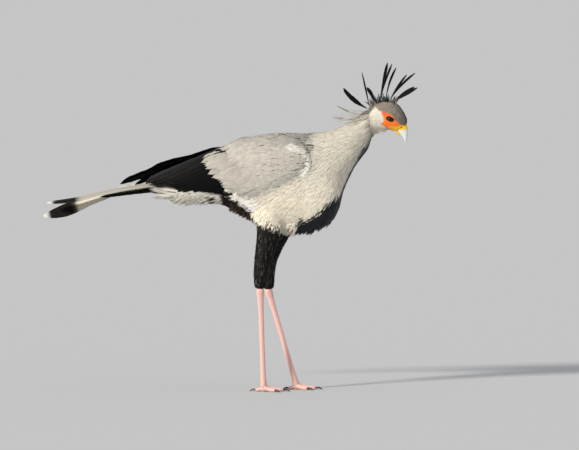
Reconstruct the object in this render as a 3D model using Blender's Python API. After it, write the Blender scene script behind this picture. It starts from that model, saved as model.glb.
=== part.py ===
"""Secretary bird, life size, standing with its head lowered and its crest raised.

Metres, +X towards the bill, +Y to the bird's left, +Z up. The origin is on the floor,
midway along the bird between the longest crest plume and the tail streamers.
The trunk, neck and head are one smooth body, parted by thin cuts. The wings hug the trunk.
"""

import math

import bmesh
import bpy
from mathutils import Matrix, Vector

MM = 0.001
CUT = 0.3 * MM
GROWN = 0.6 * MM
SIDES = {"right": -1, "left": 1}

# The body's sections, from the tail's root to the bill's root, in millimetres:
# top x, top z, low x, low z, half width, and how high up the section is widest
BODY = (
    (-189.0, 643.5, -189.0, 580.5, 30.0, 0.52),
    (-150.0, 660.0, -150.0, 562.5, 41.0, 0.54),
    (-90.0, 690.0, -90.0, 562.5, 54.0, 0.55),
    (-24.0, 723.0, -24.0, 561.0, 66.0, 0.56),
    (24.0, 750.0, 24.0, 537.0, 77.0, 0.56),
    (75.0, 766.5, 75.0, 513.0, 86.0, 0.56),
    (135.0, 775.5, 135.0, 486.0, 90.0, 0.55),
    (195.0, 775.5, 195.0, 478.5, 90.0, 0.54),
    (246.0, 775.5, 243.0, 478.5, 86.0, 0.53),
    (276.0, 777.0, 285.0, 492.0, 80.0, 0.52),
    (294.0, 779.4, 312.0, 514.5, 74.0, 0.51),
    (309.0, 783.6, 328.5, 549.0, 67.0, 0.50),
    (324.0, 789.0, 337.5, 591.0, 60.0, 0.50),
    (339.0, 795.0, 352.5, 630.0, 54.0, 0.50),
    (357.0, 805.5, 372.0, 669.0, 48.0, 0.50),
    (373.5, 817.5, 393.0, 699.0, 43.0, 0.50),
    (390.0, 829.5, 412.5, 723.0, 38.0, 0.51),
    (405.0, 841.5, 423.0, 750.0, 34.0, 0.52),
    (420.0, 855.0, 432.0, 769.5, 31.5, 0.52),
    (438.0, 867.0, 444.0, 777.6, 31.0, 0.50),
    (462.0, 874.5, 453.0, 780.6, 31.0, 0.48),
    (486.0, 871.5, 463.5, 782.4, 30.0, 0.46),
    (507.0, 858.0, 472.5, 783.0, 28.0, 0.46),
    (522.0, 837.0, 481.5, 782.4, 24.5, 0.47),
    (531.9, 816.0, 489.0, 780.0, 18.5, 0.50),
    (530.4, 797.4, 494.4, 777.0, 12.5, 0.52),
)
NECK_FROM = 12
HEAD_FROM = 18
AROUND = 32
ROUNDNESS = 0.94

# The folded wing on the trunk: x, top z, low z, and how far it stands out, in millimetres
WING = (
    (-23.4, 738.0, 600.0, 13.0),
    (5.0, 747.0, 591.0, 14.0),
    (40.0, 757.0, 582.0, 15.0),
    (80.0, 764.0, 581.0, 15.0),
    (120.0, 769.0, 600.0, 15.0),
    (165.0, 768.0, 623.0, 14.0),
    (200.0, 758.0, 640.0, 12.0),
    (225.0, 739.0, 652.0, 9.0),
    (240.0, 715.0, 664.0, 6.0),
    (248.0, 696.0, 678.0, 3.0),
)
WING_RIM = 3.0
WING_ROOT = 6.0
WING_STEPS = 9

# The black flight feathers behind it, closed into one blade on each side, in millimetres:
# x, top z, low z, y of the top edge, greatest y, y of the low edge, thickness
QUILLS = {
    "right": (
        (-24.0, 738.0, 600.0, 24.0, 80.0, 69.0, 10.0),
        (-75.0, 720.0, 598.5, 17.0, 71.0, 61.0, 9.0),
        (-120.0, 703.5, 601.5, 11.0, 61.0, 52.0, 8.0),
        (-165.0, 685.5, 612.0, 6.0, 50.0, 44.0, 7.0),
        (-204.0, 667.5, 618.0, 4.0, 40.0, 37.0, 6.0),
        (-234.0, 651.0, 618.6, 5.0, 33.0, 31.0, 4.5),
        (-253.5, 631.5, 622.5, 20.0, 26.0, 26.0, 2.5),
    ),
    "left": (
        (-24.0, 739.5, 603.0, 24.0, 80.0, 69.0, 10.0),
        (-75.0, 721.5, 606.0, 16.0, 71.0, 61.0, 9.0),
        (-120.0, 706.5, 612.0, 9.0, 60.0, 52.0, 8.0),
        (-165.0, 697.5, 621.0, 4.0, 48.0, 42.0, 7.0),
        (-210.0, 684.0, 628.5, 3.0, 37.0, 34.0, 6.0),
        (-240.0, 666.0, 631.5, 3.0, 31.0, 29.0, 5.0),
        (-276.0, 654.0, 631.5, 4.0, 25.0, 23.0, 4.0),
        (-309.0, 642.0, 627.0, 7.0, 19.0, 18.0, 3.0),
        (-334.5, 628.5, 622.5, 12.0, 15.0, 15.0, 2.0),
    ),
}
QUILL_STEPS = 9
QUILL_WIDEST = 0.55
QUILL_EDGE = 1.0

# The long central tail feathers: x, z and y of the shaft, the vane's width, in millimetres,
# and how far the vane's outer edge hangs, in degrees
STREAMERS = {
    "right": (
        (-189.6, 622.0, 12.0, 20.0, 20.0),
        (-249.0, 618.5, 14.0, 26.0, 20.0),
        (-330.0, 606.0, 17.0, 34.0, 20.0),
        (-390.0, 594.0, 18.0, 36.0, 20.0),
        (-456.0, 576.0, 18.0, 37.0, 20.0),
        (-500.0, 570.0, 18.0, 34.0, 20.0),
        (-530.0, 567.0, 18.0, 24.0, 20.0),
        (-549.0, 565.5, 18.0, 6.0, 20.0),
    ),
    "left": (
        (-189.6, 622.0, 12.0, 20.0, 20.0),
        (-249.0, 618.5, 15.0, 26.0, 20.0),
        (-330.0, 603.0, 19.0, 34.0, 20.0),
        (-390.0, 580.0, 21.0, 36.0, 20.0),
        (-435.0, 563.0, 22.0, 38.0, 24.0),
        (-474.0, 549.0, 22.0, 40.0, 34.0),
        (-510.0, 536.0, 22.0, 36.0, 42.0),
        (-540.0, 528.0, 21.0, 22.0, 42.0),
        (-561.0, 524.0, 20.0, 6.0, 42.0),
    ),
}
VANE_THICK = 1.6
TAIL_SIDES = 14

# The shorter tail feathers in a bundle below them: x, top z, low z, y, half width
TAIL = (
    (-189.6, 612.0, 578.0, 0.0, 26.0),
    (-212.0, 609.5, 592.0, 0.0, 26.0),
    (-240.0, 606.5, 598.0, -1.0, 25.0),
    (-285.0, 599.5, 593.5, -3.0, 22.0),
    (-330.0, 592.5, 587.5, -7.0, 17.0),
    (-365.0, 587.0, 583.0, -11.0, 13.0),
    (-390.0, 583.0, 580.5, -13.0, 5.0),
)

# Feathered shins, top down: x, z, y, half length along x, half width, in millimetres
SHINS = {
    "right": (
        (121.0, 545.0, 45.0, 40.0, 29.0),
        (120.0, 508.0, 46.0, 40.0, 30.0),
        (117.0, 470.0, 46.0, 36.0, 29.0),
        (107.0, 425.0, 46.0, 31.0, 26.0),
        (98.0, 386.0, 45.0, 26.0, 23.0),
        (93.0, 350.0, 44.0, 22.5, 20.5),
        (91.0, 322.0, 43.0, 19.0, 17.5),
        (91.0, 309.0, 42.5, 15.5, 14.5),
    ),
    "left": (
        (182.0, 545.0, 45.0, 40.0, 29.0),
        (170.0, 508.0, 46.0, 39.0, 30.0),
        (149.0, 470.0, 47.0, 34.0, 29.0),
        (129.0, 425.0, 47.0, 29.0, 26.0),
        (116.0, 386.0, 47.0, 24.5, 23.0),
        (113.0, 350.0, 47.0, 22.0, 20.5),
        (114.0, 316.0, 46.5, 19.0, 17.5),
        (115.0, 303.0, 46.0, 15.5, 14.5),
    ),
}
SHIN_SIDES = 20

# The scaled shanks: they lean forward by an angle and reach the floor at y
SHANK_LEAN = {"right": math.radians(2), "left": math.radians(16.5)}
FOOT_Y = {"right": -38.0 * MM, "left": 45.0 * MM}
ANKLE_BELOW = 5.0 * MM
SHANK_SIDES = 12
# Down the shank from the ankle, as a share of its length, and its radius there in millimetres
SHANK_RADII = (
    (-0.016, 9.5),
    (0.0, 12.0),
    (0.03, 11.5),
    (0.08, 9.4),
    (0.2, 7.8),
    (0.55, 7.2),
    (0.85, 7.8),
    (0.95, 9.0),
)

# The foot's joint: its height, how far up the shank it reaches, and its radii going down
TOE_JOINT_HEIGHT = 13.0 * MM
JOINT_TOP = 14.0
JOINT_RADII = ((-14.0, 9.6), (-6.0, 10.4), (4.0, 8.5))
PAD_HEIGHT = 8.6 * MM
PAD_RADIUS = 9.4 * MM
GROUND_SIZE = 0.5
GROUND_X = 0.17

# Toes: heading from straight ahead, positive towards the midline, length, thickness scale
TOES = {
    "middle": (2.0, 58.0, 1.0),
    "inner": (38.0, 42.0, 0.95),
    "outer": (-36.0, 43.0, 0.92),
    "hind": (168.0, 25.0, 0.85),
}
# Along a toe, as a share of its length: its middle's height and its radius, in millimetres
TOE_PROFILE = (
    (0.0, 13.0, 9.0),
    (0.3, 8.2, 7.4),
    (0.62, 5.6, 6.5),
    (0.88, 4.9, 5.8),
    (1.0, 5.0, 4.2),
)
TOE_SLOPE = 0.45
TOE_SIDES = 10
# Along a claw, as a share of its length: its rise over its root and its radius, in millimetres
CLAW_PROFILE = ((0.0, 0.0, 3.6), (0.35, 1.4, 3.0), (0.7, -0.2, 2.0), (1.0, -4.6, 0.9))
CLAW_LENGTH = {"middle": 20.0, "inner": 21.0, "outer": 16.0, "hind": 18.0}
CLAW_SLOPE = 0.5
CLAW_SIDES = 8

EYE = Vector((478.5, 21.0, 816.0)) * MM
EYE_RADIUS = 9.5 * MM
EYE_CLEARANCE = 0.4 * MM

# Bill sections: top x, top z, low x, low z, half width, in millimetres
UPPER_BILL = (
    (530.9, 796.9, 497.3, 783.5, 12.2),
    (533.2, 786.5, 507.0, 774.5, 10.4),
    (534.2, 775.5, 515.5, 766.5, 8.2),
    (532.6, 765.0, 521.5, 758.5, 5.4),
    (530.0, 755.0, 524.5, 751.5, 2.8),
    (526.8, 748.0, 525.4, 747.6, 0.7),
)
LOWER_BILL = (
    (496.6, 782.4, 492.4, 777.2, 8.6),
    (505.0, 774.2, 501.5, 768.6, 7.4),
    (512.0, 767.4, 509.8, 763.8, 4.6),
    (517.0, 762.6, 516.2, 761.6, 1.6),
)
BILL_SIDES = 16
BILL_WIDEST = 0.42

# Crest plumes: root x, z and y, heading up from +X in degrees, bend over the length,
# lean to the left in degrees, length, greatest width, and where along it is widest
PLUMES = (
    (411.0, 848.0, -8.0, 154.0, -30.0, -14.0, 98.0, 13.0, 0.48),
    (411.0, 848.0, 8.0, 157.0, -30.0, 14.0, 92.0, 12.0, 0.50),
    (420.0, 842.0, 3.0, 101.0, 2.0, 12.0, 118.0, 5.5, 0.60),
    (445.0, 854.0, -10.0, 122.0, -4.0, -38.0, 84.0, 15.0, 0.90),
    (445.0, 854.0, 10.0, 122.0, -4.0, 38.0, 82.0, 15.0, 0.90),
    (449.0, 868.0, -5.0, 81.0, -4.0, -10.0, 121.0, 9.5, 0.82),
    (450.0, 868.0, 6.0, 79.0, -14.0, 14.0, 122.0, 7.0, 0.80),
    (467.0, 868.0, 0.0, 86.0, -26.0, -3.0, 108.0, 7.0, 0.75),
    (476.0, 868.0, -7.0, 63.0, -12.0, -20.0, 104.0, 7.5, 0.66),
    (478.0, 870.0, 5.0, 59.0, -24.0, 11.0, 117.0, 7.5, 0.72),
    (489.0, 866.0, -6.0, 37.0, -11.0, -12.0, 86.0, 11.0, 0.60),
    (488.0, 866.0, 8.0, 41.0, -12.0, 18.0, 84.0, 10.0, 0.60),
)
NAPE_PLUMES = (
    (404.0, 826.0, -9.0, 172.0, -24.0, -8.0, 90.0, 6.0, 0.45),
    (392.0, 811.0, 6.0, 176.0, -6.0, 6.0, 85.0, 6.0, 0.45),
)
PLUME_RINGS = 8
PLUME_ROOT_THICK = 1.4 * MM
PLUME_TIP_THICK = 0.9 * MM
PLUME_ROOT_WIDTH = 0.22
PLUME_TIP_WIDTH = 0.3

FEATHER_GREY = (0.52, 0.50, 0.46)
CREAM = (0.72, 0.68, 0.58)
BLACK = (0.015, 0.014, 0.013)
FLESH_PINK = (0.62, 0.40, 0.35)
HORN_GREY = (0.62, 0.66, 0.66)
GAPE_YELLOW = (0.80, 0.52, 0.05)
CLAW_BLACK = (0.03, 0.028, 0.026)
EYE_BROWN = (0.03, 0.015, 0.008)


def clear_scene():
    for obj in list(bpy.data.objects):
        bpy.data.objects.remove(obj)


def material(name, colour, roughness):
    made = bpy.data.materials.get(name)
    if made is None:
        made = bpy.data.materials.new(name)
        made.use_nodes = True
        shader = made.node_tree.nodes["Principled BSDF"]
        shader.inputs["Base Color"].default_value = (*colour, 1.0)
        shader.inputs["Roughness"].default_value = roughness
    return made


def add_object(name, bm, surface, origin):
    """One named object from a bmesh in world places, with its own origin, under the bird's empty."""
    bmesh.ops.recalc_face_normals(bm, faces=bm.faces)
    mesh = bpy.data.meshes.new(name)
    bm.to_mesh(mesh)
    bm.free()
    mesh.transform(Matrix.Translation(-origin))
    mesh.materials.append(surface)
    mesh.shade_smooth()
    mesh.set_sharp_from_angle(angle=math.radians(50))
    obj = bpy.data.objects.new(name, mesh)
    obj.location = origin
    obj.parent = bpy.data.objects.get("secretary_bird")
    bpy.context.scene.collection.objects.link(obj)
    return obj


def loft(rings):
    """A closed skin over rings of equal length, with a face over each end."""
    bm = bmesh.new()
    rows = [[bm.verts.new(p) for p in ring] for ring in rings]
    for row, following in zip(rows, rows[1:]):
        for i in range(len(row)):
            j = (i + 1) % len(row)
            bm.faces.new((row[i], row[j], following[j], following[i]))
    bm.faces.new(rows[0])
    bm.faces.new(rows[-1])
    return bm


def signed_power(value, exponent):
    return math.copysign(abs(value) ** exponent, value)


def section(top, low, half_width, widest, count=AROUND, along=0.0):
    """A ring between a top and a low point of the middle plane, shifted along its own normal."""
    up = top - low
    height = up.length
    up.normalize()
    shift = up.cross(Vector((0, 1, 0))) * -along
    centre = low + up * (height * widest)
    ring = []
    for i in range(count):
        angle = 2 * math.pi * i / count
        rise = signed_power(math.sin(angle), ROUNDNESS)
        reach = height * ((1 - widest) if rise > 0 else widest)
        across = signed_power(math.cos(angle), ROUNDNESS) * half_width
        ring.append(centre + up * (rise * reach) + Vector((0, across, 0)) + shift)
    return ring


def body_ring(index, along=0.0):
    top_x, top_z, low_x, low_z, half_width, widest = BODY[index]
    top = Vector((top_x, 0, top_z)) * MM
    low = Vector((low_x, 0, low_z)) * MM
    return section(top, low, half_width * MM, widest, along=along)


def body_rings(first, last):
    """Rings of one length of the body, which starts a thin cut after the length behind it."""
    rings = [body_ring(i) for i in range(first, last + 1)]
    if first > 0:
        rings[0] = body_ring(first, along=CUT)
    return rings


def trunk_at(x):
    """Top z, low z, half width and widest share of the trunk's upright section at x."""
    for behind, ahead in zip(BODY, BODY[1:]):
        if behind[0] <= x <= ahead[0]:
            share = (x - behind[0]) / (ahead[0] - behind[0])
            return [behind[k] + (ahead[k] - behind[k]) * share for k in (1, 3, 4, 5)]
    raise ValueError("x is off the trunk")


def trunk_angle(x, z):
    """The angle round the trunk's section at which its surface is z high."""
    top, low, _, widest = trunk_at(x)
    centre = low + (top - low) * widest
    reach = (top - centre) if z > centre else (centre - low)
    share = max(-1.0, min(1.0, (z - centre) / reach))
    return math.asin(signed_power(share, 1 / ROUNDNESS))


def trunk_side(x, angle, out):
    """A point on the left of the trunk's section, moved straight out of it."""
    top, low, half_width, widest = trunk_at(x)
    centre = low + (top - low) * widest
    rise, across = math.sin(angle), math.cos(angle)
    reach = (top - centre) if rise > 0 else (centre - low)
    z = centre + signed_power(rise, ROUNDNESS) * reach
    y = signed_power(across, ROUNDNESS) * half_width
    normal = Vector((0, across / half_width, rise / reach)).normalized()
    return Vector((x, y, z)) + normal * out


def eased(share):
    return math.sin(math.pi * share) ** 0.6 if 0 < share < 1 else 0.0


def grow(bm, distance):
    bm.normal_update()
    for vertex in bm.verts:
        vertex.co += vertex.normal * distance
    return bm


def cutter(name, bm):
    """A hidden helper for a Boolean."""
    bmesh.ops.recalc_face_normals(bm, faces=bm.faces)
    mesh = bpy.data.meshes.new(name)
    bm.to_mesh(mesh)
    bm.free()
    obj = bpy.data.objects.new(name, mesh)
    obj.hide_render = True
    obj.display_type = "WIRE"
    bpy.context.scene.collection.objects.link(obj)
    return obj


def cut_away(obj, helper):
    modifier = obj.modifiers.new(f"less_{helper.name}", "BOOLEAN")
    modifier.operation = "DIFFERENCE"
    modifier.object = helper


def make_body():
    cream = material("cream_plumage", CREAM, 0.85)
    grey = material("grey_plumage", FEATHER_GREY, 0.85)
    trunk = loft(body_rings(0, NECK_FROM))
    add_object("trunk", trunk, cream, Vector((0.15, 0, 0.65)))
    neck = loft(body_rings(NECK_FROM, HEAD_FROM))
    add_object("neck", neck, cream, Vector((0.33, 0, 0.70)))
    head = loft(body_rings(HEAD_FROM, len(BODY) - 1))
    return add_object("head", head, grey, Vector((0.44, 0, 0.83)))


def make_wing(side, sign, trunk_cutter):
    """The wing's bend, arm and grey coverts: a pad that lies close on the trunk's side."""
    bm = bmesh.new()
    outer, inner = [], []
    for x, top, low, bulge in WING:
        high, deep = trunk_angle(x, top), trunk_angle(x, low)
        out_row, in_row = [], []
        for step in range(WING_STEPS + 1):
            share = step / WING_STEPS
            angle = high + (deep - high) * share
            stand = WING_RIM + bulge * eased(share)
            for row, out in ((out_row, stand), (in_row, -WING_ROOT)):
                point = trunk_side(x, angle, out) * MM
                row.append(bm.verts.new((point.x, point.y * sign, point.z)))
        outer.append(out_row)
        inner.append(in_row)
    close_pad(bm, outer, inner)
    grey = material("grey_plumage", FEATHER_GREY, 0.85)
    wing = add_object(f"wing_{side}", bm, grey, Vector((0.12, 0.09 * sign, 0.70)))
    cut_away(wing, trunk_cutter)


def close_pad(bm, outer, inner):
    """Faces for a pad with an outer and an inner grid of points and a rim all round."""
    for grid in (outer, inner):
        for row, following in zip(grid, grid[1:]):
            for i in range(len(row) - 1):
                bm.faces.new((row[i], row[i + 1], following[i + 1], following[i]))
    for out_row, in_row in ((outer[0], inner[0]), (outer[-1], inner[-1])):
        for i in range(len(out_row) - 1):
            bm.faces.new((out_row[i], out_row[i + 1], in_row[i + 1], in_row[i]))
    for i in (0, -1):
        for row in range(len(outer) - 1):
            bm.faces.new((outer[row][i], outer[row + 1][i], inner[row + 1][i], inner[row][i]))


def quill_point(station, share, deep):
    """A point across the blade of flight feathers, at a depth under its outer face."""
    x, top, low, y_top, y_out, y_low, _ = station
    centre = low + (top - low) * QUILL_WIDEST
    high, below = math.acos(y_top / y_out), -math.acos(min(1.0, y_low / y_out))
    angle = high + (below - high) * share
    reach = (top - centre) / math.sin(high)
    if angle < 0:
        reach = (centre - low) / math.sin(-below)
    y, z = y_out * math.cos(angle), centre + reach * math.sin(angle)
    normal = Vector((0, math.cos(angle) / y_out, math.sin(angle) / reach)).normalized()
    return Vector((x, y, z)) - normal * deep


def make_quills(side, sign):
    """The folded primaries and secondaries, which taper to the wing's tip over the tail."""
    bm = bmesh.new()
    outer, inner = [], []
    for station in QUILLS[side]:
        thick = station[-1]
        rows = ([], [])
        for step in range(QUILL_STEPS + 1):
            share = step / QUILL_STEPS
            deep = QUILL_EDGE + (thick - QUILL_EDGE) * eased(share)
            for row, under in zip(rows, (0.0, deep)):
                point = quill_point(station, share, under) * MM
                row.append(bm.verts.new((point.x, point.y * sign, point.z)))
        outer.append(rows[0])
        inner.append(rows[1])
    close_pad(bm, outer, inner)
    black = material("black_plumage", BLACK, 0.55)
    add_object(f"quills_{side}", bm, black, Vector((-0.10, 0.06 * sign, 0.68)))


def vane_ring(point, along, width, thick, roll):
    """A flat four-sided section of a feather's vane, with a low ridge along the shaft."""
    across = along.cross(Vector((0, 0, 1))).normalized()
    turned = Matrix.Rotation(roll, 3, along) @ across
    up = along.cross(turned).normalized()
    return [
        point + turned * (width / 2),
        point + up * (thick / 2),
        point - turned * (width / 2),
        point - up * (thick / 2),
    ]


def tangent(points, i):
    ahead, behind = min(i + 1, len(points) - 1), max(i - 1, 0)
    return (points[ahead] - points[behind]).normalized()


def make_streamer(side, sign):
    stations = STREAMERS[side]
    points = [Vector((x, y * sign, z)) * MM for x, z, y, _, _ in stations]
    rings = []
    for i, (point, (_, _, _, width, hang)) in enumerate(zip(points, stations)):
        roll = -math.radians(hang) * sign
        rings.append(vane_ring(point, tangent(points, i), width * MM, VANE_THICK * MM, roll))
    grey = material("streamer_grey", FEATHER_GREY, 0.6)
    add_object(f"tail_streamer_{side}", loft(rings), grey, points[0])


def make_tail():
    rings = []
    for x, top_z, low_z, y, half_width in TAIL:
        top, low = Vector((x, y, top_z)) * MM, Vector((x, y, low_z)) * MM
        rings.append(section(top, low, half_width * MM, 0.5, count=TAIL_SIDES))
    black = material("black_plumage", BLACK, 0.55)
    add_object("tail", loft(rings), black, Vector((-0.19, 0, 0.617)))


def make_shin(side, sign, trunk_cutter):
    rings = []
    for x, z, y, half_length, half_width in SHINS[side]:
        ring = []
        for i in range(SHIN_SIDES):
            angle = 2 * math.pi * i / SHIN_SIDES
            offset = Vector((math.cos(angle) * half_length, math.sin(angle) * half_width, 0))
            ring.append((Vector((x, y * sign, z)) + offset) * MM)
        rings.append(ring)
    black = material("black_plumage", BLACK, 0.8)
    x, z, y = SHINS[side][-1][:3]
    shin = add_object(f"shin_{side}", loft(rings), black, Vector((x, y * sign, z)) * MM)
    cut_away(shin, trunk_cutter)


def ankle_of(side, sign):
    x, z, y = SHINS[side][-1][:3]
    return Vector((x, y * sign, z)) * MM - Vector((0, 0, ANKLE_BELOW))


def toe_joint_of(side, sign):
    """The shank leans so that its lower end is always at the same height over the floor."""
    ankle = ankle_of(side, sign)
    drop = ankle.z - TOE_JOINT_HEIGHT
    return Vector((ankle.x + drop * math.tan(SHANK_LEAN[side]), FOOT_Y[side], TOE_JOINT_HEIGHT))


def round_ring(centre, axis, radius, count=SHANK_SIDES):
    side = axis.cross(Vector((1, 0, 0))).normalized()
    front = side.cross(axis).normalized()
    turns = [2 * math.pi * i / count for i in range(count)]
    return [centre + (side * math.sin(turn) + front * math.cos(turn)) * radius for turn in turns]


def make_shank(side, sign):
    ankle, joint = ankle_of(side, sign), toe_joint_of(side, sign)
    length = (joint - ankle).length
    axis = (joint - ankle).normalized()
    rings = [round_ring(ankle + axis * (share * length), axis, radius * MM) for share, radius in SHANK_RADII]
    rings.append(round_ring(joint - axis * (JOINT_TOP * MM + CUT), axis, JOINT_RADII[0][1] * MM))
    flat_top = SHINS[side][-1][1] * MM - CUT
    rings[0] = [Vector((p.x, p.y, flat_top)) for p in rings[0]]
    pink = material("scaled_skin", FLESH_PINK, 0.5)
    add_object(f"shank_{side}", loft(rings), pink, ankle)


def ground():
    """A block with its top at floor level, under both feet."""
    bm = bmesh.new()
    bmesh.ops.create_cube(bm, size=GROUND_SIZE)
    bmesh.ops.translate(bm, verts=bm.verts, vec=(GROUND_X, 0, -GROUND_SIZE / 2))
    return bm


def toe_axis(name, sign):
    heading = math.radians(TOES[name][0]) * -sign
    return Vector((math.cos(heading), math.sin(heading), 0))


def toe_rings(joint, name, sign):
    _, length, scale = TOES[name]
    forward = toe_axis(name, sign)
    rings = []
    for share, height, radius in TOE_PROFILE:
        centre = Vector((joint.x, joint.y, height * MM)) + forward * (share * length * MM)
        heading = (forward - Vector((0, 0, TOE_SLOPE * (1 - share)))).normalized()
        rings.append(round_ring(centre, heading, radius * scale * MM, count=TOE_SIDES))
    return rings


def ball(centre, radius, segments=14, rings=9):
    bm = bmesh.new()
    bmesh.ops.create_uvsphere(bm, u_segments=segments, v_segments=rings, radius=radius)
    bmesh.ops.translate(bm, verts=bm.verts, vec=centre)
    return bm


def join_on(obj, name, bm):
    modifier = obj.modifiers.new(f"with_{name}", "BOOLEAN")
    modifier.operation = "UNION"
    modifier.object = cutter(name, bm)


def make_foot(side, sign, floor_cutter):
    """Toes, their pads and the joint in one, standing on small flats at floor level."""
    joint, ankle = toe_joint_of(side, sign), ankle_of(side, sign)
    axis = (joint - ankle).normalized()
    rings = [round_ring(joint + axis * (along * MM), axis, radius * MM) for along, radius in JOINT_RADII]
    pink = material("scaled_skin", FLESH_PINK, 0.5)
    foot = add_object(f"foot_{side}", loft(rings), pink, joint)
    join_on(foot, f"pad_{side}", ball(Vector((joint.x, joint.y, PAD_HEIGHT)), PAD_RADIUS))
    for name in TOES:
        join_on(foot, f"toe_{name}_{side}", loft(toe_rings(joint, name, sign)))
    cut_away(foot, floor_cutter)


def make_claws(side, sign, floor_cutter):
    joint = toe_joint_of(side, sign)
    horn = material("claw_horn", CLAW_BLACK, 0.35)
    for name, (_, length, scale) in TOES.items():
        forward = toe_axis(name, sign)
        root = Vector((joint.x, joint.y, TOE_PROFILE[-1][1] * MM)) + forward * (length * MM + CUT)
        span = CLAW_LENGTH[name] * MM
        rings = []
        for share, rise, radius in CLAW_PROFILE:
            centre = root + forward * (share * span) + Vector((0, 0, rise * MM))
            heading = (forward - Vector((0, 0, CLAW_SLOPE * share))).normalized()
            rings.append(round_ring(centre, heading, radius * scale * MM, count=CLAW_SIDES))
        claw = add_object(f"claw_{name}_{side}", loft(rings), horn, root)
        cut_away(claw, floor_cutter)


def make_eye(side, sign):
    centre = Vector((EYE.x, EYE.y * sign, EYE.z))
    brown = material("eye_brown", EYE_BROWN, 0.08)
    add_object(f"eye_{side}", ball(centre, EYE_RADIUS, segments=16, rings=10), brown, centre)
    return cutter(f"socket_{side}", ball(centre, EYE_RADIUS + EYE_CLEARANCE, segments=16, rings=10))


def make_bill(name, stations, surface, neighbours):
    rings = []
    for top_x, top_z, low_x, low_z, half_width in stations:
        top, low = Vector((top_x, 0, top_z)) * MM, Vector((low_x, 0, low_z)) * MM
        rings.append(section(top, low, half_width * MM, BILL_WIDEST, count=BILL_SIDES))
    bill = add_object(name, loft(rings), surface, rings[0][0])
    for neighbour in neighbours:
        cut_away(bill, neighbour)
    return cutter(f"{name}_grown", grow(loft(rings), GROWN))


def plume_points(plume):
    """The shaft's points: it starts along its heading and turns by its bend."""
    x, z, y, heading, bend, lean, length = plume[:7]
    step = length * MM / (PLUME_RINGS - 1)
    place = Vector((x, y, z)) * MM
    points = [place.copy()]
    for i in range(PLUME_RINGS - 1):
        angle = math.radians(heading + bend * (i + 0.5) / (PLUME_RINGS - 1))
        sideways = math.radians(lean)
        flat = math.cos(sideways)
        place = place + Vector((math.cos(angle) * flat, math.sin(sideways), math.sin(angle) * flat)) * step
        points.append(place.copy())
    return points


def plume_width(share, widest):
    """Narrow at the root, broad at its widest place, closing to a blunt tip."""
    if share < widest:
        rise = share / widest
        return PLUME_ROOT_WIDTH + (1 - PLUME_ROOT_WIDTH) * rise * rise * (3 - 2 * rise)
    fall = (share - widest) / (1 - widest)
    return max(PLUME_TIP_WIDTH, math.sqrt(max(0.0, math.cos(fall * math.pi / 2))))


def make_plume(name, plume, surface, head_cutter):
    """A blade whose flat faces look to the bird's sides."""
    lean, width, widest = math.radians(plume[5]), plume[7] * MM, plume[8]
    points = plume_points(plume)
    rings = []
    for i, point in enumerate(points):
        share = i / (len(points) - 1)
        along = tangent(points, i)
        across = Vector((-math.sin(lean), 1, 0)).cross(along).normalized()
        half = across * (plume_width(share, widest) * width / 2)
        thick = PLUME_ROOT_THICK + (PLUME_TIP_THICK - PLUME_ROOT_THICK) * share
        ridge = along.cross(across).normalized() * (thick / 2)
        rings.append([point + half, point + ridge, point - half, point - ridge])
    blade = add_object(name, loft(rings), surface, points[0])
    cut_away(blade, head_cutter)


def main():
    clear_scene()
    bird = bpy.data.objects.new("secretary_bird", None)
    bpy.context.scene.collection.objects.link(bird)
    head = make_body()
    trunk_cutter = cutter("trunk_grown", grow(loft(body_rings(0, NECK_FROM)), GROWN))
    head_cutter = cutter("head_grown", grow(loft(body_rings(NECK_FROM + 1, len(BODY) - 1)), GROWN))
    floor_cutter = cutter("floor", ground())
    make_tail()
    for side, sign in SIDES.items():
        make_wing(side, sign, trunk_cutter)
        make_quills(side, sign)
        make_streamer(side, sign)
        make_shin(side, sign, trunk_cutter)
        make_shank(side, sign)
        make_foot(side, sign, floor_cutter)
        make_claws(side, sign, floor_cutter)
        cut_away(head, make_eye(side, sign))
    horn = material("bill_horn", HORN_GREY, 0.35)
    yellow = material("gape_yellow", GAPE_YELLOW, 0.45)
    upper_cutter = make_bill("bill_upper", UPPER_BILL, horn, [head_cutter])
    make_bill("bill_lower", LOWER_BILL, yellow, [head_cutter, upper_cutter])
    black = material("black_plumage", BLACK, 0.55)
    grey = material("grey_plumage", FEATHER_GREY, 0.8)
    for number, plume in enumerate(PLUMES, 1):
        make_plume(f"crest_plume_{number:02d}", plume, black, head_cutter)
    for number, plume in enumerate(NAPE_PLUMES, 1):
        make_plume(f"nape_plume_{number:02d}", plume, grey, head_cutter)


main()
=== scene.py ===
"""Secretary bird: one skin with its feathers, bill, eyes and scaled legs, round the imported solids.

Metres, +X towards the bill, +Y to the bird's left, +Z up. Every feather is a thin closed vane.
"""

import math
from collections import namedtuple
from types import SimpleNamespace

import bpy
import numpy as np
from mathutils import Matrix, Vector
from mathutils.bvhtree import BVHTree


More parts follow.
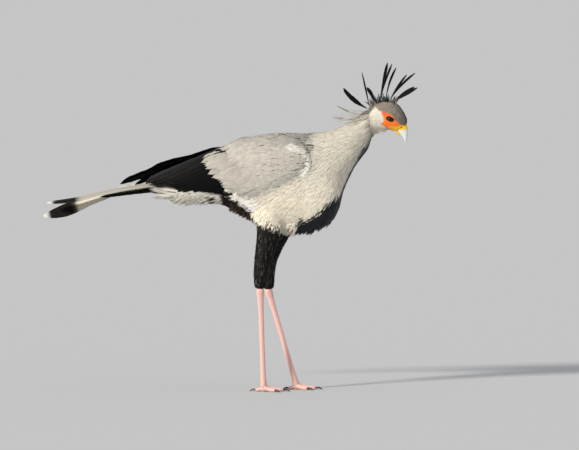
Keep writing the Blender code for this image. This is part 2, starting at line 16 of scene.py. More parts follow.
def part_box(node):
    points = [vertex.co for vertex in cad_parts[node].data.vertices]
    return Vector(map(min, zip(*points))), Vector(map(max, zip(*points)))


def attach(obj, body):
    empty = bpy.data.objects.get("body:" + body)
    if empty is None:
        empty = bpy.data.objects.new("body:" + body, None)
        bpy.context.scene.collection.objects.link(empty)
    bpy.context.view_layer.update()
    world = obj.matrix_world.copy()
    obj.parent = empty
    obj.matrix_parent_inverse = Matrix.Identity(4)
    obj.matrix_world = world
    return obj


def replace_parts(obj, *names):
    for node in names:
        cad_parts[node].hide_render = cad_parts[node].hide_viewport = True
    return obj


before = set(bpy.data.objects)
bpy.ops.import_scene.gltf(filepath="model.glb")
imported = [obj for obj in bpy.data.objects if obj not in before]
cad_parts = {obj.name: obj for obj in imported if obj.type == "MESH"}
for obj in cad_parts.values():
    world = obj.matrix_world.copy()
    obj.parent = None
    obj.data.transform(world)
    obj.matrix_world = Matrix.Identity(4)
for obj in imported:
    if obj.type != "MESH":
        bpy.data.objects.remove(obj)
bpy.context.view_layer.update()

MM = 0.001
SIDES = {"right": -1, "left": 1}
random = np.random.default_rng(11)

# The camera looks level at the bird's right side, from a little above
AIM = Vector((0.1785, 0.0, 0.498))
CAMERA_DISTANCE = 15.0
CAMERA_ELEVATION = math.radians(2.5)
PICTURE_WIDTH = 1.737
SENSOR = 36.0
# A low warm sun from behind the camera's left shoulder, and a pale studio all round
SUN_WAY = (0.66, 0.62, -0.42)
SUN_COLOUR = (1.0, 0.94, 0.85)
SUN_STRENGTH = 3.6
STUDIO_LIGHT = (0.56, 0.56, 0.56)
FLOOR_SIZE = 6000.0

FLESH = ("head", "neck", "trunk", "wing_right", "wing_left", "shin_right", "shin_left")
EYES = ("eye_right", "eye_left")
FATTEN = 1.2 * MM
SKIN_VOXEL = 3.5 * MM

# How deep the skin lies under the coat's outline, in millimetres
COAT_DEPTH = {"head": 3.0, "neck": 8.0, "trunk": 9.0, "wing": 7.0, "shin": 5.0}
BARE_DEPTH = 0.4

# Outlines in the bird's side view, x and z in millimetres
FACE = (
    (452.0, 842.0), (462.0, 837.5), (476.0, 833.5), (489.0, 823.0), (499.0, 811.0),
    (514.0, 797.0), (521.0, 788.0), (512.0, 768.0), (497.0, 772.0), (480.0, 784.0),
    (467.0, 792.0), (452.0, 801.5), (462.0, 811.0), (459.5, 823.0), (455.0, 834.0),
)
GAPE = (
    (473.0, 793.5), (482.0, 796.0), (492.0, 794.2), (501.0, 793.8), (506.0, 795.5), (513.0, 797.5),
    (540.0, 799.0), (540.0, 760.0), (510.0, 762.0), (497.0, 771.0), (487.0, 778.0), (478.0, 786.5),
)
NOSTRIL = (512.5, 789.8)
MOUTH = ((466.0, 796.5), (476.0, 791.0), (487.0, 783.5), (496.0, 777.5), (506.0, 771.5))
CHEEK = (
    (452.0, 846.0), (444.0, 851.0), (434.0, 848.0), (424.0, 836.0), (420.0, 815.0),
    (426.0, 798.0), (440.0, 788.0), (470.0, 776.0), (470.0, 790.0), (452.0, 801.5),
    (462.0, 811.0), (459.5, 823.0), (455.0, 834.0),
)
CROWN = (
    (446.0, 852.0), (452.0, 843.0), (462.0, 838.0), (477.0, 834.0), (489.0, 823.5),
    (499.0, 811.5), (513.0, 797.0), (524.0, 795.0), (545.0, 790.0), (550.0, 850.0), (510.0, 900.0),
    (440.0, 900.0), (425.0, 870.0),
)
NAPE_SMUDGE = (
    (376.0, 840.0), (398.0, 828.0), (420.0, 830.0), (434.0, 846.0), (440.0, 858.0), (430.0, 885.0),
    (380.0, 880.0),
)
# The front of the neck and breast, turned away from the low sun: painted shade, dark slate over feathers that are pale
# grey
BREAST_SHADE_PATCH = (
    (432.0, 774.0), (412.0, 750.0), (394.0, 716.0), (372.0, 683.0), (350.0, 645.0),
    (333.0, 612.0), (300.0, 580.0), (258.0, 532.0), (222.0, 497.0), (204.0, 470.0),
    (420.0, 440.0), (450.0, 700.0),
)
# The grey wings and back; the first points are the scalloped edge over the flight feathers
MANTLE_EDGE = (
    (9.0, 753.0), (-24.0, 723.0), (-51.0, 714.0), (-90.0, 696.0), (-87.0, 687.0), (-78.0, 675.0),
    (-69.0, 657.0), (-51.0, 639.0), (-33.0, 636.0), (-30.0, 621.0), (-15.0, 609.0), (0.0, 606.0),
    (18.0, 594.0),
)
GREY_MANTLE = MANTLE_EDGE + (
    (75.0, 582.0), (96.0, 594.0), (120.0, 609.0), (150.0, 621.0), (180.0, 633.0), (210.0, 645.0),
    (240.0, 657.0), (246.0, 680.0), (243.0, 705.0), (262.0, 740.0), (300.0, 790.0), (300.0, 830.0),
    (9.0, 830.0),
)
BEND_EDGE = (
    (217.0, 652.0), (230.0, 665.0), (234.0, 681.0), (233.0, 696.0), (228.0, 708.0),
    (218.0, 720.0), (200.0, 729.0), (178.0, 733.0),
)
BEND_EDGE_WIDTH = 10.0
BLACK_VENT = (
    (-30.0, 625.0), (-24.0, 607.0), (8.0, 597.0), (37.0, 583.0), (42.0, 566.0), (60.0, 545.0),
    (76.0, 535.0), (88.0, 515.0), (86.0, 500.0), (66.0, 470.0), (-20.0, 510.0), (-20.0, 560.0),
    (-26.0, 592.0), (-50.0, 600.0),
)
WHITE_TUFTS = (
    ((11.0, 592.0), (20.0, 597.0), (33.0, 595.0), (37.0, 586.0), (27.0, 573.0), (18.0, 571.0), (12.0, 580.0)),
    ((40.0, 582.0), (60.0, 582.0), (98.0, 576.0), (92.0, 560.0), (80.0, 544.0), (64.0, 538.0), (50.0, 550.0)),
)
# Where the flank's feathers end over the black thighs, x and z
HEM = (
    (60.0, 530.0), (84.0, 512.0), (96.0, 497.0), (120.0, 495.0), (146.0, 484.0), (166.0, 479.0),
    (178.0, 468.0), (196.0, 479.0), (226.0, 492.0),
)
HEM_OVERLAP = 28.0
# The crease before the wing's bend, which the feathers of the neck fill
CREASE = ((212.0, 640.0), (243.0, 665.0), (250.0, 700.0), (262.0, 740.0), (285.0, 780.0))
CREASE_WIDTH = 30.0

EYE_PLACE = (478.5, 21.0, 816.0)
EYE_RADIUS = 9.5
EYE_OPENING = (8.3, 5.2)
EYE_ALONG = (0.93, 0.0, -0.37)
EYE_FACES = (0.12, 1.0, 0.02)
# The half sizes of the black almond that the eye and its lids' edges lie in
EYE_MARK = (12.2, 7.0)
LID = 1.0


def linear(colour):
    """An sRGB hex colour as linear red, green and blue."""
    parts = [int(colour[i:i + 2], 16) / 255 for i in (1, 3, 5)]
    return np.array([c / 12.92 if c <= 0.04045 else ((c + 0.055) / 1.055) ** 2.4 for c in parts])


def smooth(low, high, value):
    share = np.clip((value - low) / (high - low), 0.0, 1.0)
    return share * share * (3 - 2 * share)


def unit(rows):
    return rows / np.maximum(np.linalg.norm(rows, axis=-1, keepdims=True), 1e-12)


def dot(a, b):
    return (a * b).sum(-1, keepdims=True)


def outline_depth(points, outline):
    """How far inside an outline of the side view each point is, in millimetres; outside is negative."""
    p = points[:, [0, 2]] / MM
    a = np.array(outline)
    b = np.roll(a, -1, axis=0)
    edge = b - a
    rel = p[:, None] - a
    share = np.clip((rel * edge).sum(-1) / (edge * edge).sum(-1), 0, 1)
    near = np.linalg.norm(rel - share[..., None] * edge, axis=-1).min(1)
    rise = np.where(edge[:, 1] == 0, 1e-9, edge[:, 1])
    straddles = (a[:, 1] > p[:, 1:2]) != (b[:, 1] > p[:, 1:2])
    crosses = straddles & (p[:, :1] < edge[:, 0] * (p[:, 1:2] - a[:, 1]) / rise + a[:, 0])
    return np.where(crosses.sum(1) % 2 == 1, near, -near)


def line_distance(points, line):
    """The distance of each point from an open line of the side view, in millimetres."""
    p = points[:, [0, 2]] / MM
    a, b = np.array(line[:-1]), np.array(line[1:])
    edge = b - a
    rel = p[:, None] - a
    share = np.clip((rel * edge).sum(-1) / (edge * edge).sum(-1), 0, 1)
    return np.linalg.norm(rel - share[..., None] * edge, axis=-1).min(1)


def deselect():
    bpy.ops.object.select_all(action="DESELECT")


def activate(obj):
    deselect()
    obj.select_set(True)
    bpy.context.view_layer.objects.active = obj


def apply_modifiers(obj):
    activate(obj)
    for modifier in list(obj.modifiers):
        bpy.ops.object.modifier_apply(modifier=modifier.name)


def modify(obj, kind, **settings):
    modifier = obj.modifiers.new(kind.lower(), kind)
    for key, value in settings.items():
        setattr(modifier, key, value)
    apply_modifiers(obj)


def copy_of(nodes, name):
    """One object from merged copies of CAD nodes."""
    copies = []
    for node in nodes:
        copy = bpy.data.objects.new(name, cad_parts[node].data.copy())
        bpy.context.scene.collection.objects.link(copy)
        copies.append(copy)
    activate(copies[0])
    for copy in copies:
        copy.select_set(True)
    if len(copies) > 1:
        bpy.ops.object.join()
    obj = bpy.context.view_layer.objects.active
    obj.name = name
    obj.data.materials.clear()
    bpy.ops.object.mode_set(mode="EDIT")
    bpy.ops.mesh.select_all(action="SELECT")
    bpy.ops.mesh.remove_doubles(threshold=0.01 * MM)
    bpy.ops.object.mode_set(mode="OBJECT")
    return obj


def places(mesh):
    co = np.empty(len(mesh.vertices) * 3)
    mesh.vertices.foreach_get("co", co)
    return co.reshape(-1, 3)


def normals(mesh):
    found = np.empty(len(mesh.vertices) * 3)
    mesh.vertices.foreach_get("normal", found)
    return found.reshape(-1, 3)


def place(mesh, co):
    mesh.vertices.foreach_set("co", co.ravel())
    mesh.update()


def edges_of(mesh):
    ends = np.empty(len(mesh.edges) * 2, int)
    mesh.edges.foreach_get("vertices", ends)
    return ends.reshape(-1, 2)


def spread(edges, values, times):
    """Values at vertices, evened out along the edges."""
    count = 1 + np.bincount(edges.ravel(), minlength=len(values))
    for _ in range(times):
        total = values.copy()
        for here, there in ((0, 1), (1, 0)):
            total += np.bincount(edges[:, here], weights=values[edges[:, there]], minlength=len(values))
        values = total / count
    return values


def tree_of(obj):
    mesh = obj.data
    return BVHTree.FromPolygons([v.co for v in mesh.vertices], [tuple(p.vertices) for p in mesh.polygons])


def nearest(tree, points):
    """The nearest place on a surface to each point, and the surface's normal there."""
    found = [tree.find_nearest(p) for p in points]
    return np.array([f[0] for f in found]), np.array([f[1] for f in found])


def owners(points):
    """Which flesh node each point belongs to, by the nearest surface."""
    gaps = []
    for node in FLESH:
        tree = tree_of(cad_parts[node])
        gaps.append([tree.find_nearest(p)[3] for p in points])
    return np.array(FLESH)[np.argmin(gaps, axis=0)]


def camera_and_light():
    camera = bpy.data.cameras.new("camera")
    camera.sensor_width = SENSOR
    camera.lens = SENSOR * CAMERA_DISTANCE / PICTURE_WIDTH
    camera.clip_end = 2 * FLOOR_SIZE
    eye = bpy.data.objects.new("camera", camera)
    lean = CAMERA_ELEVATION
    eye.location = AIM + Vector((0, -math.cos(lean), math.sin(lean))) * CAMERA_DISTANCE
    eye.rotation_euler = (AIM - eye.location).to_track_quat("-Z", "Y").to_euler()
    bpy.context.scene.collection.objects.link(eye)
    bpy.context.scene.camera = eye
    sun = bpy.data.lights.new("key", "SUN")
    sun.energy = SUN_STRENGTH
    sun.angle = math.radians(8)
    sun.color = SUN_COLOUR
    key = bpy.data.objects.new("key", sun)
    key.rotation_euler = Vector(SUN_WAY).to_track_quat("-Z", "Y").to_euler()
    bpy.context.scene.collection.objects.link(key)
    world = bpy.data.worlds.new("studio")
    world.use_nodes = True
    world.node_tree.nodes["Background"].inputs["Color"].default_value = (*STUDIO_LIGHT, 1.0)
    bpy.context.scene.world = world
    bpy.context.scene.view_settings.view_transform = "Standard"


def add(tree, kind, inputs=None, **settings):
    """Adds a node with its settings, and gives or links its inputs."""
    made = tree.nodes.new(kind)
    for key, value in settings.items():
        setattr(made, key, value)
    for key, value in (inputs or {}).items():
        if isinstance(value, bpy.types.NodeSocket):
            tree.links.new(value, made.inputs[key])
        else:
            made.inputs[key].default_value = value
    return made


def new_material(name):
    made = bpy.data.materials.new(name)
    made.use_nodes = True
    tree = made.node_tree
    return made, tree, tree.nodes["Principled BSDF"]


def make_floor():
    """A pale floor as bright as the studio around it, so that no line shows where they meet."""
    deselect()
    bpy.ops.mesh.primitive_plane_add(size=FLOOR_SIZE, location=(0, 0, 0))
    floor = bpy.context.object
    floor.name = "studio_floor"
    made, tree, shader = new_material("painted_studio_floor")
    sunlight = SUN_STRENGTH * -SUN_WAY[2] / math.pi
    paint = [light / (light + sunlight * tint) for light, tint in zip(STUDIO_LIGHT, SUN_COLOUR)]
    shader.inputs["Base Color"].default_value = (*paint, 1.0)
    shader.inputs["Roughness"].default_value = 1.0
    shader.inputs["Specular IOR Level"].default_value = 0.0
    floor.data.materials.append(made)


def make_skin():
    """The flesh nodes as one skin, as deep under the coat's outline as the coat is thick."""
    skin = copy_of(FLESH + EYES, "skin")
    mesh = skin.data
    place(mesh, places(mesh) + normals(mesh) * FATTEN)
    modify(skin, "REMESH", mode="VOXEL", voxel_size=SKIN_VOXEL)
    modify(skin, "SMOOTH", factor=0.5, iterations=8)
    fill_crease(skin.data)
    refine(skin, lambda p: (p[:, 0] > 432 * MM) & (p[:, 2] > 765 * MM), 1)
    refine(skin, lambda p: np.maximum(outline_depth(p, FACE), outline_depth(p, GAPE)) > -5, 1)
    refine(skin, lambda p: np.minimum(*(eye_view(p, sign)[3] for sign in SIDES.values())) < 17, 1)
    refine(skin, lambda p: (nostril_share(p) < 4) | (line_distance(p, MOUTH) < 3) & (p[:, 2] < 0.8), 1)
    modify(skin, "SMOOTH", factor=0.5, iterations=12)
    mesh = skin.data
    co, out = places(mesh), normals(mesh)
    co = co - out * FATTEN
    place(mesh, co)
    whose = np.array([name.split("_")[0] for name in owners(co)])
    x, _, z = (co / MM).T
    under_hem = (z < np.interp(x, *np.array(HEM).T) + HEM_OVERLAP) & (x > 45) & (x < 205)
    whose = np.where(whose == "shin", "trunk", whose)
    whose = np.where((whose == "trunk") & under_hem, "shin", whose)
    depth = np.array([COAT_DEPTH[name] for name in whose])
    depth = spread(edges_of(mesh), depth, 16)
    bare = smooth(-4.0, 0.0, np.maximum(outline_depth(co, FACE), outline_depth(co, GAPE)))
    bare = bare * (whose == "head")
    depth = depth * (1 - bare) + BARE_DEPTH * bare
    outline = surface_of(skin, "quills_right", "quills_left")
    place(mesh, shape_face(co - out * depth[:, None] * MM, out, bare))
    even_face(mesh, bare)
    activate(skin)
    bpy.ops.object.mode_set(mode="EDIT")
    bpy.ops.mesh.select_all(action="SELECT")
    bpy.ops.uv.smart_project(angle_limit=math.radians(70), island_margin=0.004)
    bpy.ops.object.mode_set(mode="OBJECT")
    mesh.uv_layers[0].name = "OFBake"
    paint_on(mesh, plumage(places(mesh), whose))
    return skin, outline, whose, depth


def fill_crease(mesh):
    """Evens the step where the wing's bend stands out of the neck."""
    co = places(mesh)
    edges = edges_of(mesh)
    even = np.stack([spread(edges, co[:, k], 90) for k in range(3)], axis=1)
    share = smooth(CREASE_WIDTH, CREASE_WIDTH * 0.4, line_distance(co, CREASE))
    share = share * smooth(20, 40, np.abs(co[:, 1]) / MM) * smooth(625, 650, co[:, 2] / MM)
    place(mesh, co + (even - co) * share[:, None])


def eye_view(points, sign):
    """Places seen from one eye, in millimetres: along the lids, up, out of the head, and how far off."""
    side = (1, sign, 1)
    out = unit(np.array(EYE_FACES) * side)
    along = np.array(EYE_ALONG)
    along = unit(along - out * (along @ out))
    up = np.cross(along, out) * sign
    rel = points / MM - np.array(EYE_PLACE) * side
    along, up, out = rel @ along, rel @ up, rel @ out
    return along, up, out, np.linalg.norm(rel, axis=1)


def lid_ring(along, up):
    """One on the edge of the eye's almond opening, less inside it."""
    corner = 1 + 0.25 * (along / EYE_OPENING[0]) ** 2
    return np.sqrt((along / EYE_OPENING[0]) ** 2 + (up * corner / EYE_OPENING[1]) ** 2)


def nostril_share(points):
    """How many times its own half size each point lies from the middle of a slanting nostril."""
    x, _, z = (points / MM).T
    x, z = x - NOSTRIL[0], z - NOSTRIL[1]
    return np.hypot((x * 0.93 + z * 0.37) / 4.4, (z * 0.93 - x * 0.37) / 1.4)


def shape_face(co, out, bare):
    """Lids round each eye, the brow over it, nostrils, the line of the mouth and the loose skin's folds."""
    raised = np.zeros(len(co))
    for sign in SIDES.values():
        along, up, height, far = eye_view(co, sign)
        off = np.hypot(along, up)
        here = (far < 26) & (height > 0)
        beyond = (lid_ring(along, up) - 1) * np.mean(EYE_OPENING)
        lid = np.sqrt(np.maximum(EYE_RADIUS**2 - off**2, 5.2**2)) + LID
        near = smooth(5.0, 0.5, beyond)
        level = np.maximum(lid, height * (1 - near) + lid * near)
        under = np.sqrt(np.maximum(EYE_RADIUS**2 - off**2, 0)) - 1.8
        inside = smooth(0.25, -0.45, beyond)
        level = level * (1 - inside) + under * inside
        moved = (level - height) * smooth(12.5, 9.5, off) * here
        co = co + unit(np.array(EYE_FACES) * (1, sign, 1)) * moved[:, None] * MM
        rim = 0.35 * np.exp(-(((beyond - 1.0) / 0.6) ** 2))
        crease = -0.55 * np.exp(-(((beyond - 3.6) / 0.8) ** 2)) - 0.3 * np.exp(-(((beyond - 6.2) / 0.7) ** 2))
        brow = 1.2 * np.exp(-(((up - 11.0) / 2.6) ** 2)) * smooth(15, 8, np.abs(along))
        raised += np.where(here, rim + crease + brow, 0)
    mouth = line_distance(co, MOUTH)
    raised += bare * (-0.8 * np.exp(-((mouth / 0.8) ** 2)) + 0.5 * np.exp(-(((mouth - 2.4) / 1.2) ** 2)))
    slit = nostril_share(co)
    raised += bare * (-1.7 * smooth(1.2, 0.6, slit) + 0.35 * np.exp(-(((slit - 1.5) / 0.3) ** 2)))
    x, _, z = (co / MM).T
    folds = np.sin((x * 0.62 + z * 0.79) * math.tau / 4.2 + 1.3 * np.sin(x * 0.9) + np.sin(z * 0.7))
    raised += bare * 0.12 * folds
    return co + out * raised[:, None] * MM


def even_face(mesh, bare):
    """Takes the ripples of the remesh out of the bare skin, away from the lids, nostrils and mouth."""
    co, edges = places(mesh), edges_of(mesh)
    even = np.stack([spread(edges, co[:, k], 8) for k in range(3)], axis=1)
    far = np.minimum(*(eye_view(co, sign)[3] for sign in SIDES.values()))
    share = bare * smooth(12, 15, far) * smooth(1.8, 3, nostril_share(co)) * smooth(1, 3, line_distance(co, MOUTH))
    place(mesh, co + (even - co) * share[:, None])


def surface_of(obj, *nodes):
    """A tree of an object's faces and those of CAD nodes."""
    points, faces = [], []
    for part in [obj] + [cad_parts[node] for node in nodes]:
        faces += [[i + len(points) for i in p.vertices] for p in part.data.polygons]
        points += [v.co.copy() for v in part.data.vertices]
    return BVHTree.FromPolygons(points, faces)


def paint_on(mesh, colour):
    rgba = np.ones((len(mesh.vertices), 4))
    rgba[:, :3] = colour
    paint = mesh.color_attributes.new(name="Plumage", type="FLOAT_COLOR", domain="POINT")
    paint.data.foreach_set("color", rgba.reshape(-1))


# The plumage's colours as they look in even light, but for the painted shade on the front of the neck and breast and on
# the front of the crown, and the bend's white brightened as painted light
COLOURS = {
    "neck": "#d6d1c3", "cream": "#efe7d6", "mantle": "#bbb7ae", "back": "#a7a49c", "bend": "#fdfbf4",
    "nape": "#c5c0b3",
    "breast_shade": "#1a1d22", "vent": "#17120f", "black": "#0e0d0d", "undertail": "#dedbd0",
    "tuft": "#f6f4ee", "smudge": "#5f5951", "crown": "#8f867b", "forehead_shade": "#6f665e",
    "cheek": "#ebe5d7", "lid": "#0e0b0a", "orange": "#ff7c22", "red": "#f4583a", "yellow": "#ffc41c",
    "nostril_shade": "#8a4a16",
}


def plumage(points, whose, bare=True):
    """The colour of skin and coat at each place, by the marking that it lies in, without or with the
    bare skin of the face.
    """
    x, y, z = (points / MM).T
    y = np.abs(y)
    paint = {name: linear(value) for name, value in COLOURS.items()}
    colour = np.tile(paint["neck"], (len(points), 1))

    def mark(name, share):
        colour[:] = colour + (paint[name] - colour) * np.asarray(share, float)[:, None]

    head = (whose == "head").astype(float)
    body = 1 - head
    mark("nape", smooth(700, 800, z) * body)
    mark("cream", smooth(690, 590, z) * body)
    mark("mantle", smooth(-6, 6, outline_depth(points, GREY_MANTLE)) * body)
    on_mantle = smooth(-6, 6, outline_depth(points, GREY_MANTLE)) * body
    mark("back", on_mantle * np.maximum(smooth(715, 760, z), 0.6 * smooth(130, 10, x)))
    # The white edge of the wing's bend is its own marking; its upper part, which faces the sun, is only half white and
    # its lower part, turned from the sun, full white: painted light
    bend = 1 - smooth(BEND_EDGE_WIDTH * 0.5, BEND_EDGE_WIDTH * 1.5, line_distance(points, BEND_EDGE))
    mark("bend", bend * (0.5 + 0.5 * smooth(718, 700, z)) * (y > 20) * body)
    # Painted shade: dark slate on the front of the neck and breast, where the sun doesn't reach
    mark("breast_shade", smooth(-3, 4, outline_depth(points, BREAST_SHADE_PATCH)) * (whose != "shin"))
    mark("undertail", (x < 10) * (z < 612) * body)
    behind = (x < 18) * (outline_depth(points, GREY_MANTLE) < -2) * smooth(600, 606, z)
    mark("black", behind * body)
    mark("black", (x < -40) * smooth(606, 612, z) * body)
    mark("vent", smooth(-2, 3, outline_depth(points, BLACK_VENT)) * body)
    mark("vent", (whose == "trunk") * (y < 34) * (z < 520) * smooth(190, 150, x) * smooth(-10, 20, x))
    for tuft in WHITE_TUFTS:
        mark("tuft", (outline_depth(points, tuft) > 0) * body * (y > 30))
    mark("black", whose == "shin")
    mark("smudge", smooth(-6, 6, outline_depth(points, NAPE_SMUDGE)) * 0.85)
    mark("cheek", smooth(-4, 4, outline_depth(points, CHEEK)) * head)
    crown = smooth(-5, -1, outline_depth(points, CROWN)) * head
    mark("crown", crown)
    # Painted shade: the crown darker towards its front, which turns from the sun
    mark("forehead_shade", smooth(495, 525, x) * crown * 0.45)
    # Painted shade: a black line along the top of the forehead, where it turns from the sun
    mark("black", smooth(11, 7, y) * (z > 800) * smooth(475, 490, x) * head)
    mark("black", smooth(15, 10, y) * smooth(858, 866, z) * smooth(440, 450, x) * head)
    if not bare:
        return colour
    face = smooth(-1, 1, outline_depth(points, FACE)) * head
    mark("orange", face)
    mark("red", face * smooth(820, 836, z) * 0.8)
    mark("red", face * smooth(810, 803, z) * 0.1)
    mark("yellow", smooth(-2.5, 2.0, outline_depth(points, GAPE)) * head * (0.6 + 0.4 * smooth(484, 500, x)))
    for sign in SIDES.values():
        along, up, height, far = eye_view(points, sign)
        ring = (lid_ring(along, up) - 1) * np.mean(EYE_OPENING)
        near_eye = (far < 24) * (height > 0) * head
        mark("red", near_eye * smooth(5, 2, ring) * 0.35)
        mark("lid", near_eye * smooth(1.12, 0.97, np.hypot(along / EYE_MARK[0], up / EYE_MARK[1])))
    # Painted shade: the nostril's hollow darkened to a deep orange
    mark("nostril_shade", smooth(1.3, 0.8, nostril_share(points)) * head)
    return colour


def refine(obj, chosen, times):
    """Subdivides the chosen stretch of a mesh smoothly."""
    for _ in range(times):
        activate(obj)
        mesh = obj.data
        centres = np.empty(len(mesh.polygons) * 3)
        mesh.polygons.foreach_get("center", centres)
        picked = chosen(centres.reshape(-1, 3))
        mesh.polygons.foreach_set("select", picked)
        mesh.edges.foreach_set("select", np.zeros(len(mesh.edges), bool))
        mesh.vertices.foreach_set("select", np.zeros(len(mesh.vertices), bool))
        bpy.ops.object.mode_set(mode="EDIT")
        bpy.ops.mesh.select_mode(type="FACE")
        bpy.ops.mesh.subdivide(number_cuts=1, smoothness=1.0)
        bpy.ops.object.mode_set(mode="OBJECT")

# The lie of the coat: a place in the side view and the way feathers point there, as x, z in
# millimetres, y as a share of the half width, then the way along x, y and z
LIE = (
    (525.0, 815.0, 0.0, -0.30, 0.0, 0.95), (505.0, 860.0, 0.0, -0.80, 0.0, 0.60),
    (478.0, 845.0, 1.0, -0.86, 0.0, 0.50), (465.0, 875.0, 0.0, -1.00, 0.0, 0.05),
    (435.0, 862.0, 0.0, -0.85, 0.0, -0.45), (440.0, 825.0, 1.0, -0.97, 0.0, -0.10),
    (470.0, 785.0, 0.5, -0.95, 0.0, 0.15), (445.0, 790.0, 1.0, -0.95, 0.0, -0.25),
    (410.0, 835.0, 0.0, -0.88, 0.0, -0.42), (405.0, 790.0, 1.0, -0.80, 0.0, -0.60),
    (425.0, 760.0, 0.0, -0.55, 0.0, -0.83), (375.0, 812.0, 0.0, -0.92, 0.0, -0.38),
    (370.0, 750.0, 1.0, -0.72, 0.0, -0.69), (392.0, 700.0, 0.0, -0.40, 0.0, -0.92),
    (330.0, 788.0, 0.0, -0.97, 0.0, -0.24), (330.0, 710.0, 1.0, -0.66, 0.0, -0.75),
    (350.0, 625.0, 0.0, -0.28, 0.0, -0.96), (290.0, 660.0, 1.0, -0.62, 0.0, -0.78),
    (325.0, 560.0, 0.0, -0.25, 0.0, -0.97), (280.0, 560.0, 1.0, -0.55, 0.0, -0.83),
    (290.0, 500.0, 0.0, -0.80, 0.0, -0.60), (240.0, 480.0, 0.0, -1.00, 0.0, -0.10),
    (220.0, 560.0, 1.0, -0.62, 0.0, -0.78), (150.0, 560.0, 1.0, -0.62, 0.0, -0.78),
    (170.0, 500.0, 1.0, -0.50, 0.0, -0.87), (90.0, 540.0, 1.0, -0.75, 0.0, -0.66),
    (150.0, 483.0, 0.0, -1.00, 0.0, 0.05), (40.0, 540.0, 0.5, -0.95, 0.0, -0.05),
    (-60.0, 580.0, 1.0, -0.93, 0.0, -0.36), (-150.0, 585.0, 1.0, -0.93, 0.0, -0.36),
    (270.0, 776.0, 0.0, -1.00, 0.0, -0.02), (150.0, 775.0, 0.0, -1.00, 0.0, 0.00),
    (230.0, 690.0, 1.0, -0.92, 0.0, -0.40), (200.0, 740.0, 1.0, -0.96, 0.0, -0.28),
    (120.0, 700.0, 1.0, -0.90, 0.0, -0.43), (60.0, 750.0, 1.0, -0.92, 0.0, -0.38),
    (30.0, 640.0, 1.0, -0.90, 0.0, -0.43), (120.0, 610.0, 1.0, -0.88, 0.0, -0.48),
    (20.0, 750.0, 0.0, -0.92, 0.0, -0.38), (-100.0, 690.0, 0.0, -0.93, 0.0, -0.36),
    (120.0, 470.0, 1.0, -0.10, 0.0, -1.00), (100.0, 380.0, 1.0, -0.05, 0.0, -1.00),
    (95.0, 310.0, 1.0, 0.00, 0.0, -1.00),
)
BODY_HALF_WIDTH = 80.0
PATCH = 0.003
LIFT_POWER = 2.2
# A feather's rims shade as sharp edges, so that its face looks as flat as it is
SHARP = 50.0


def lie_at(points):
    """The way the coat points at each place, before it is laid on the surface there."""
    guides = np.array(LIE)
    at = np.stack([guides[:, 0], guides[:, 2] * 40.0, guides[:, 1]], axis=1)
    here = np.abs(points / MM)
    here[:, 0] = points[:, 0] / MM
    half = np.where(here[:, 2] > 770, 30.0, np.where(here[:, 2] < 470, 45.0, BODY_HALF_WIDTH))
    here[:, 1] = np.clip(here[:, 1] / half, 0, 1) * 40.0
    gap = np.linalg.norm(here[:, None] - at, axis=-1)
    weight = 1 / (gap + 4.0) ** 4
    return unit(weight @ guides[:, 3:] / weight.sum(1, keepdims=True))


def feather_shape(name, stations, sides):
    """A feather along +Y, one long and one wide, drawn out ring by ring from a flat ring."""
    deselect()
    bpy.ops.mesh.primitive_circle_add(vertices=sides, radius=0.5, fill_type="NGON")
    shape = bpy.context.object
    shape.name = name
    shape.rotation_euler = (math.pi / 2, 0, 0)
    activate(shape)
    bpy.ops.object.transform_apply(location=False, rotation=True, scale=False)
    bpy.ops.object.mode_set(mode="EDIT")
    bpy.ops.mesh.select_mode(type="FACE")
    bpy.ops.mesh.select_all(action="SELECT")
    share, width = stations[0]
    bpy.ops.transform.resize(value=(width, 1, width), center_override=(0, 0, 0))
    for (before, was), (after, becomes) in zip(stations, stations[1:]):
        bpy.ops.mesh.extrude_region_move(TRANSFORM_OT_translate={"value": (0, after - before, 0)})
        grown = becomes / was
        bpy.ops.transform.resize(value=(grown, 1, grown), center_override=(0, after, 0))
    bpy.ops.mesh.select_all(action="SELECT")
    bpy.ops.mesh.normals_make_consistent(inside=False)
    bpy.ops.object.mode_set(mode="OBJECT")
    mesh = shape.data
    made = SimpleNamespace(
        co=places(mesh), faces=[list(p.vertices) for p in mesh.polygons], rings=len(stations),
        blade=np.zeros(len(mesh.vertices), int),
    )
    bpy.data.objects.remove(shape)
    return made


def fan(shape, count, spread, open_out, shorter, width):
    """Several slim blades from one root that draw apart towards their tips, the middle one longest."""
    co, faces, blade = [], [], []
    for k in range(count):
        side = 2 * k / (count - 1) - 1
        part = shape.co * (width, 1 - shorter * side * side - 0.06 * (k % 2), 1.0)
        part[:, 0] += side * (spread + open_out * part[:, 1] ** 2) / 2
        part[:, 2] += 0.35 * (k % 2)
        faces += [[i + k * len(part) for i in face] for face in shape.faces]
        co.append(part)
        blade += [k] * len(part)
    return SimpleNamespace(co=np.concatenate(co), faces=faces, rings=shape.rings, blade=np.array(blade))


def on_skin(tree, roots, ways, lengths, rings, follow):
    """Walks feathers over a surface from their roots: their places and the surface's normals."""
    here, way = roots, ways
    step = lengths[:, None] / (rings - 1)
    track, up = [], []
    for _ in range(rings):
        here, normal = nearest(tree, here)
        track.append(here)
        up.append(normal)
        way = unit(way * (1 - follow) + lie_at(here) * follow)
        way = unit(way - normal * dot(way, normal))
        here = here + way * step
    return np.stack(track, axis=1), np.stack(up, axis=1)


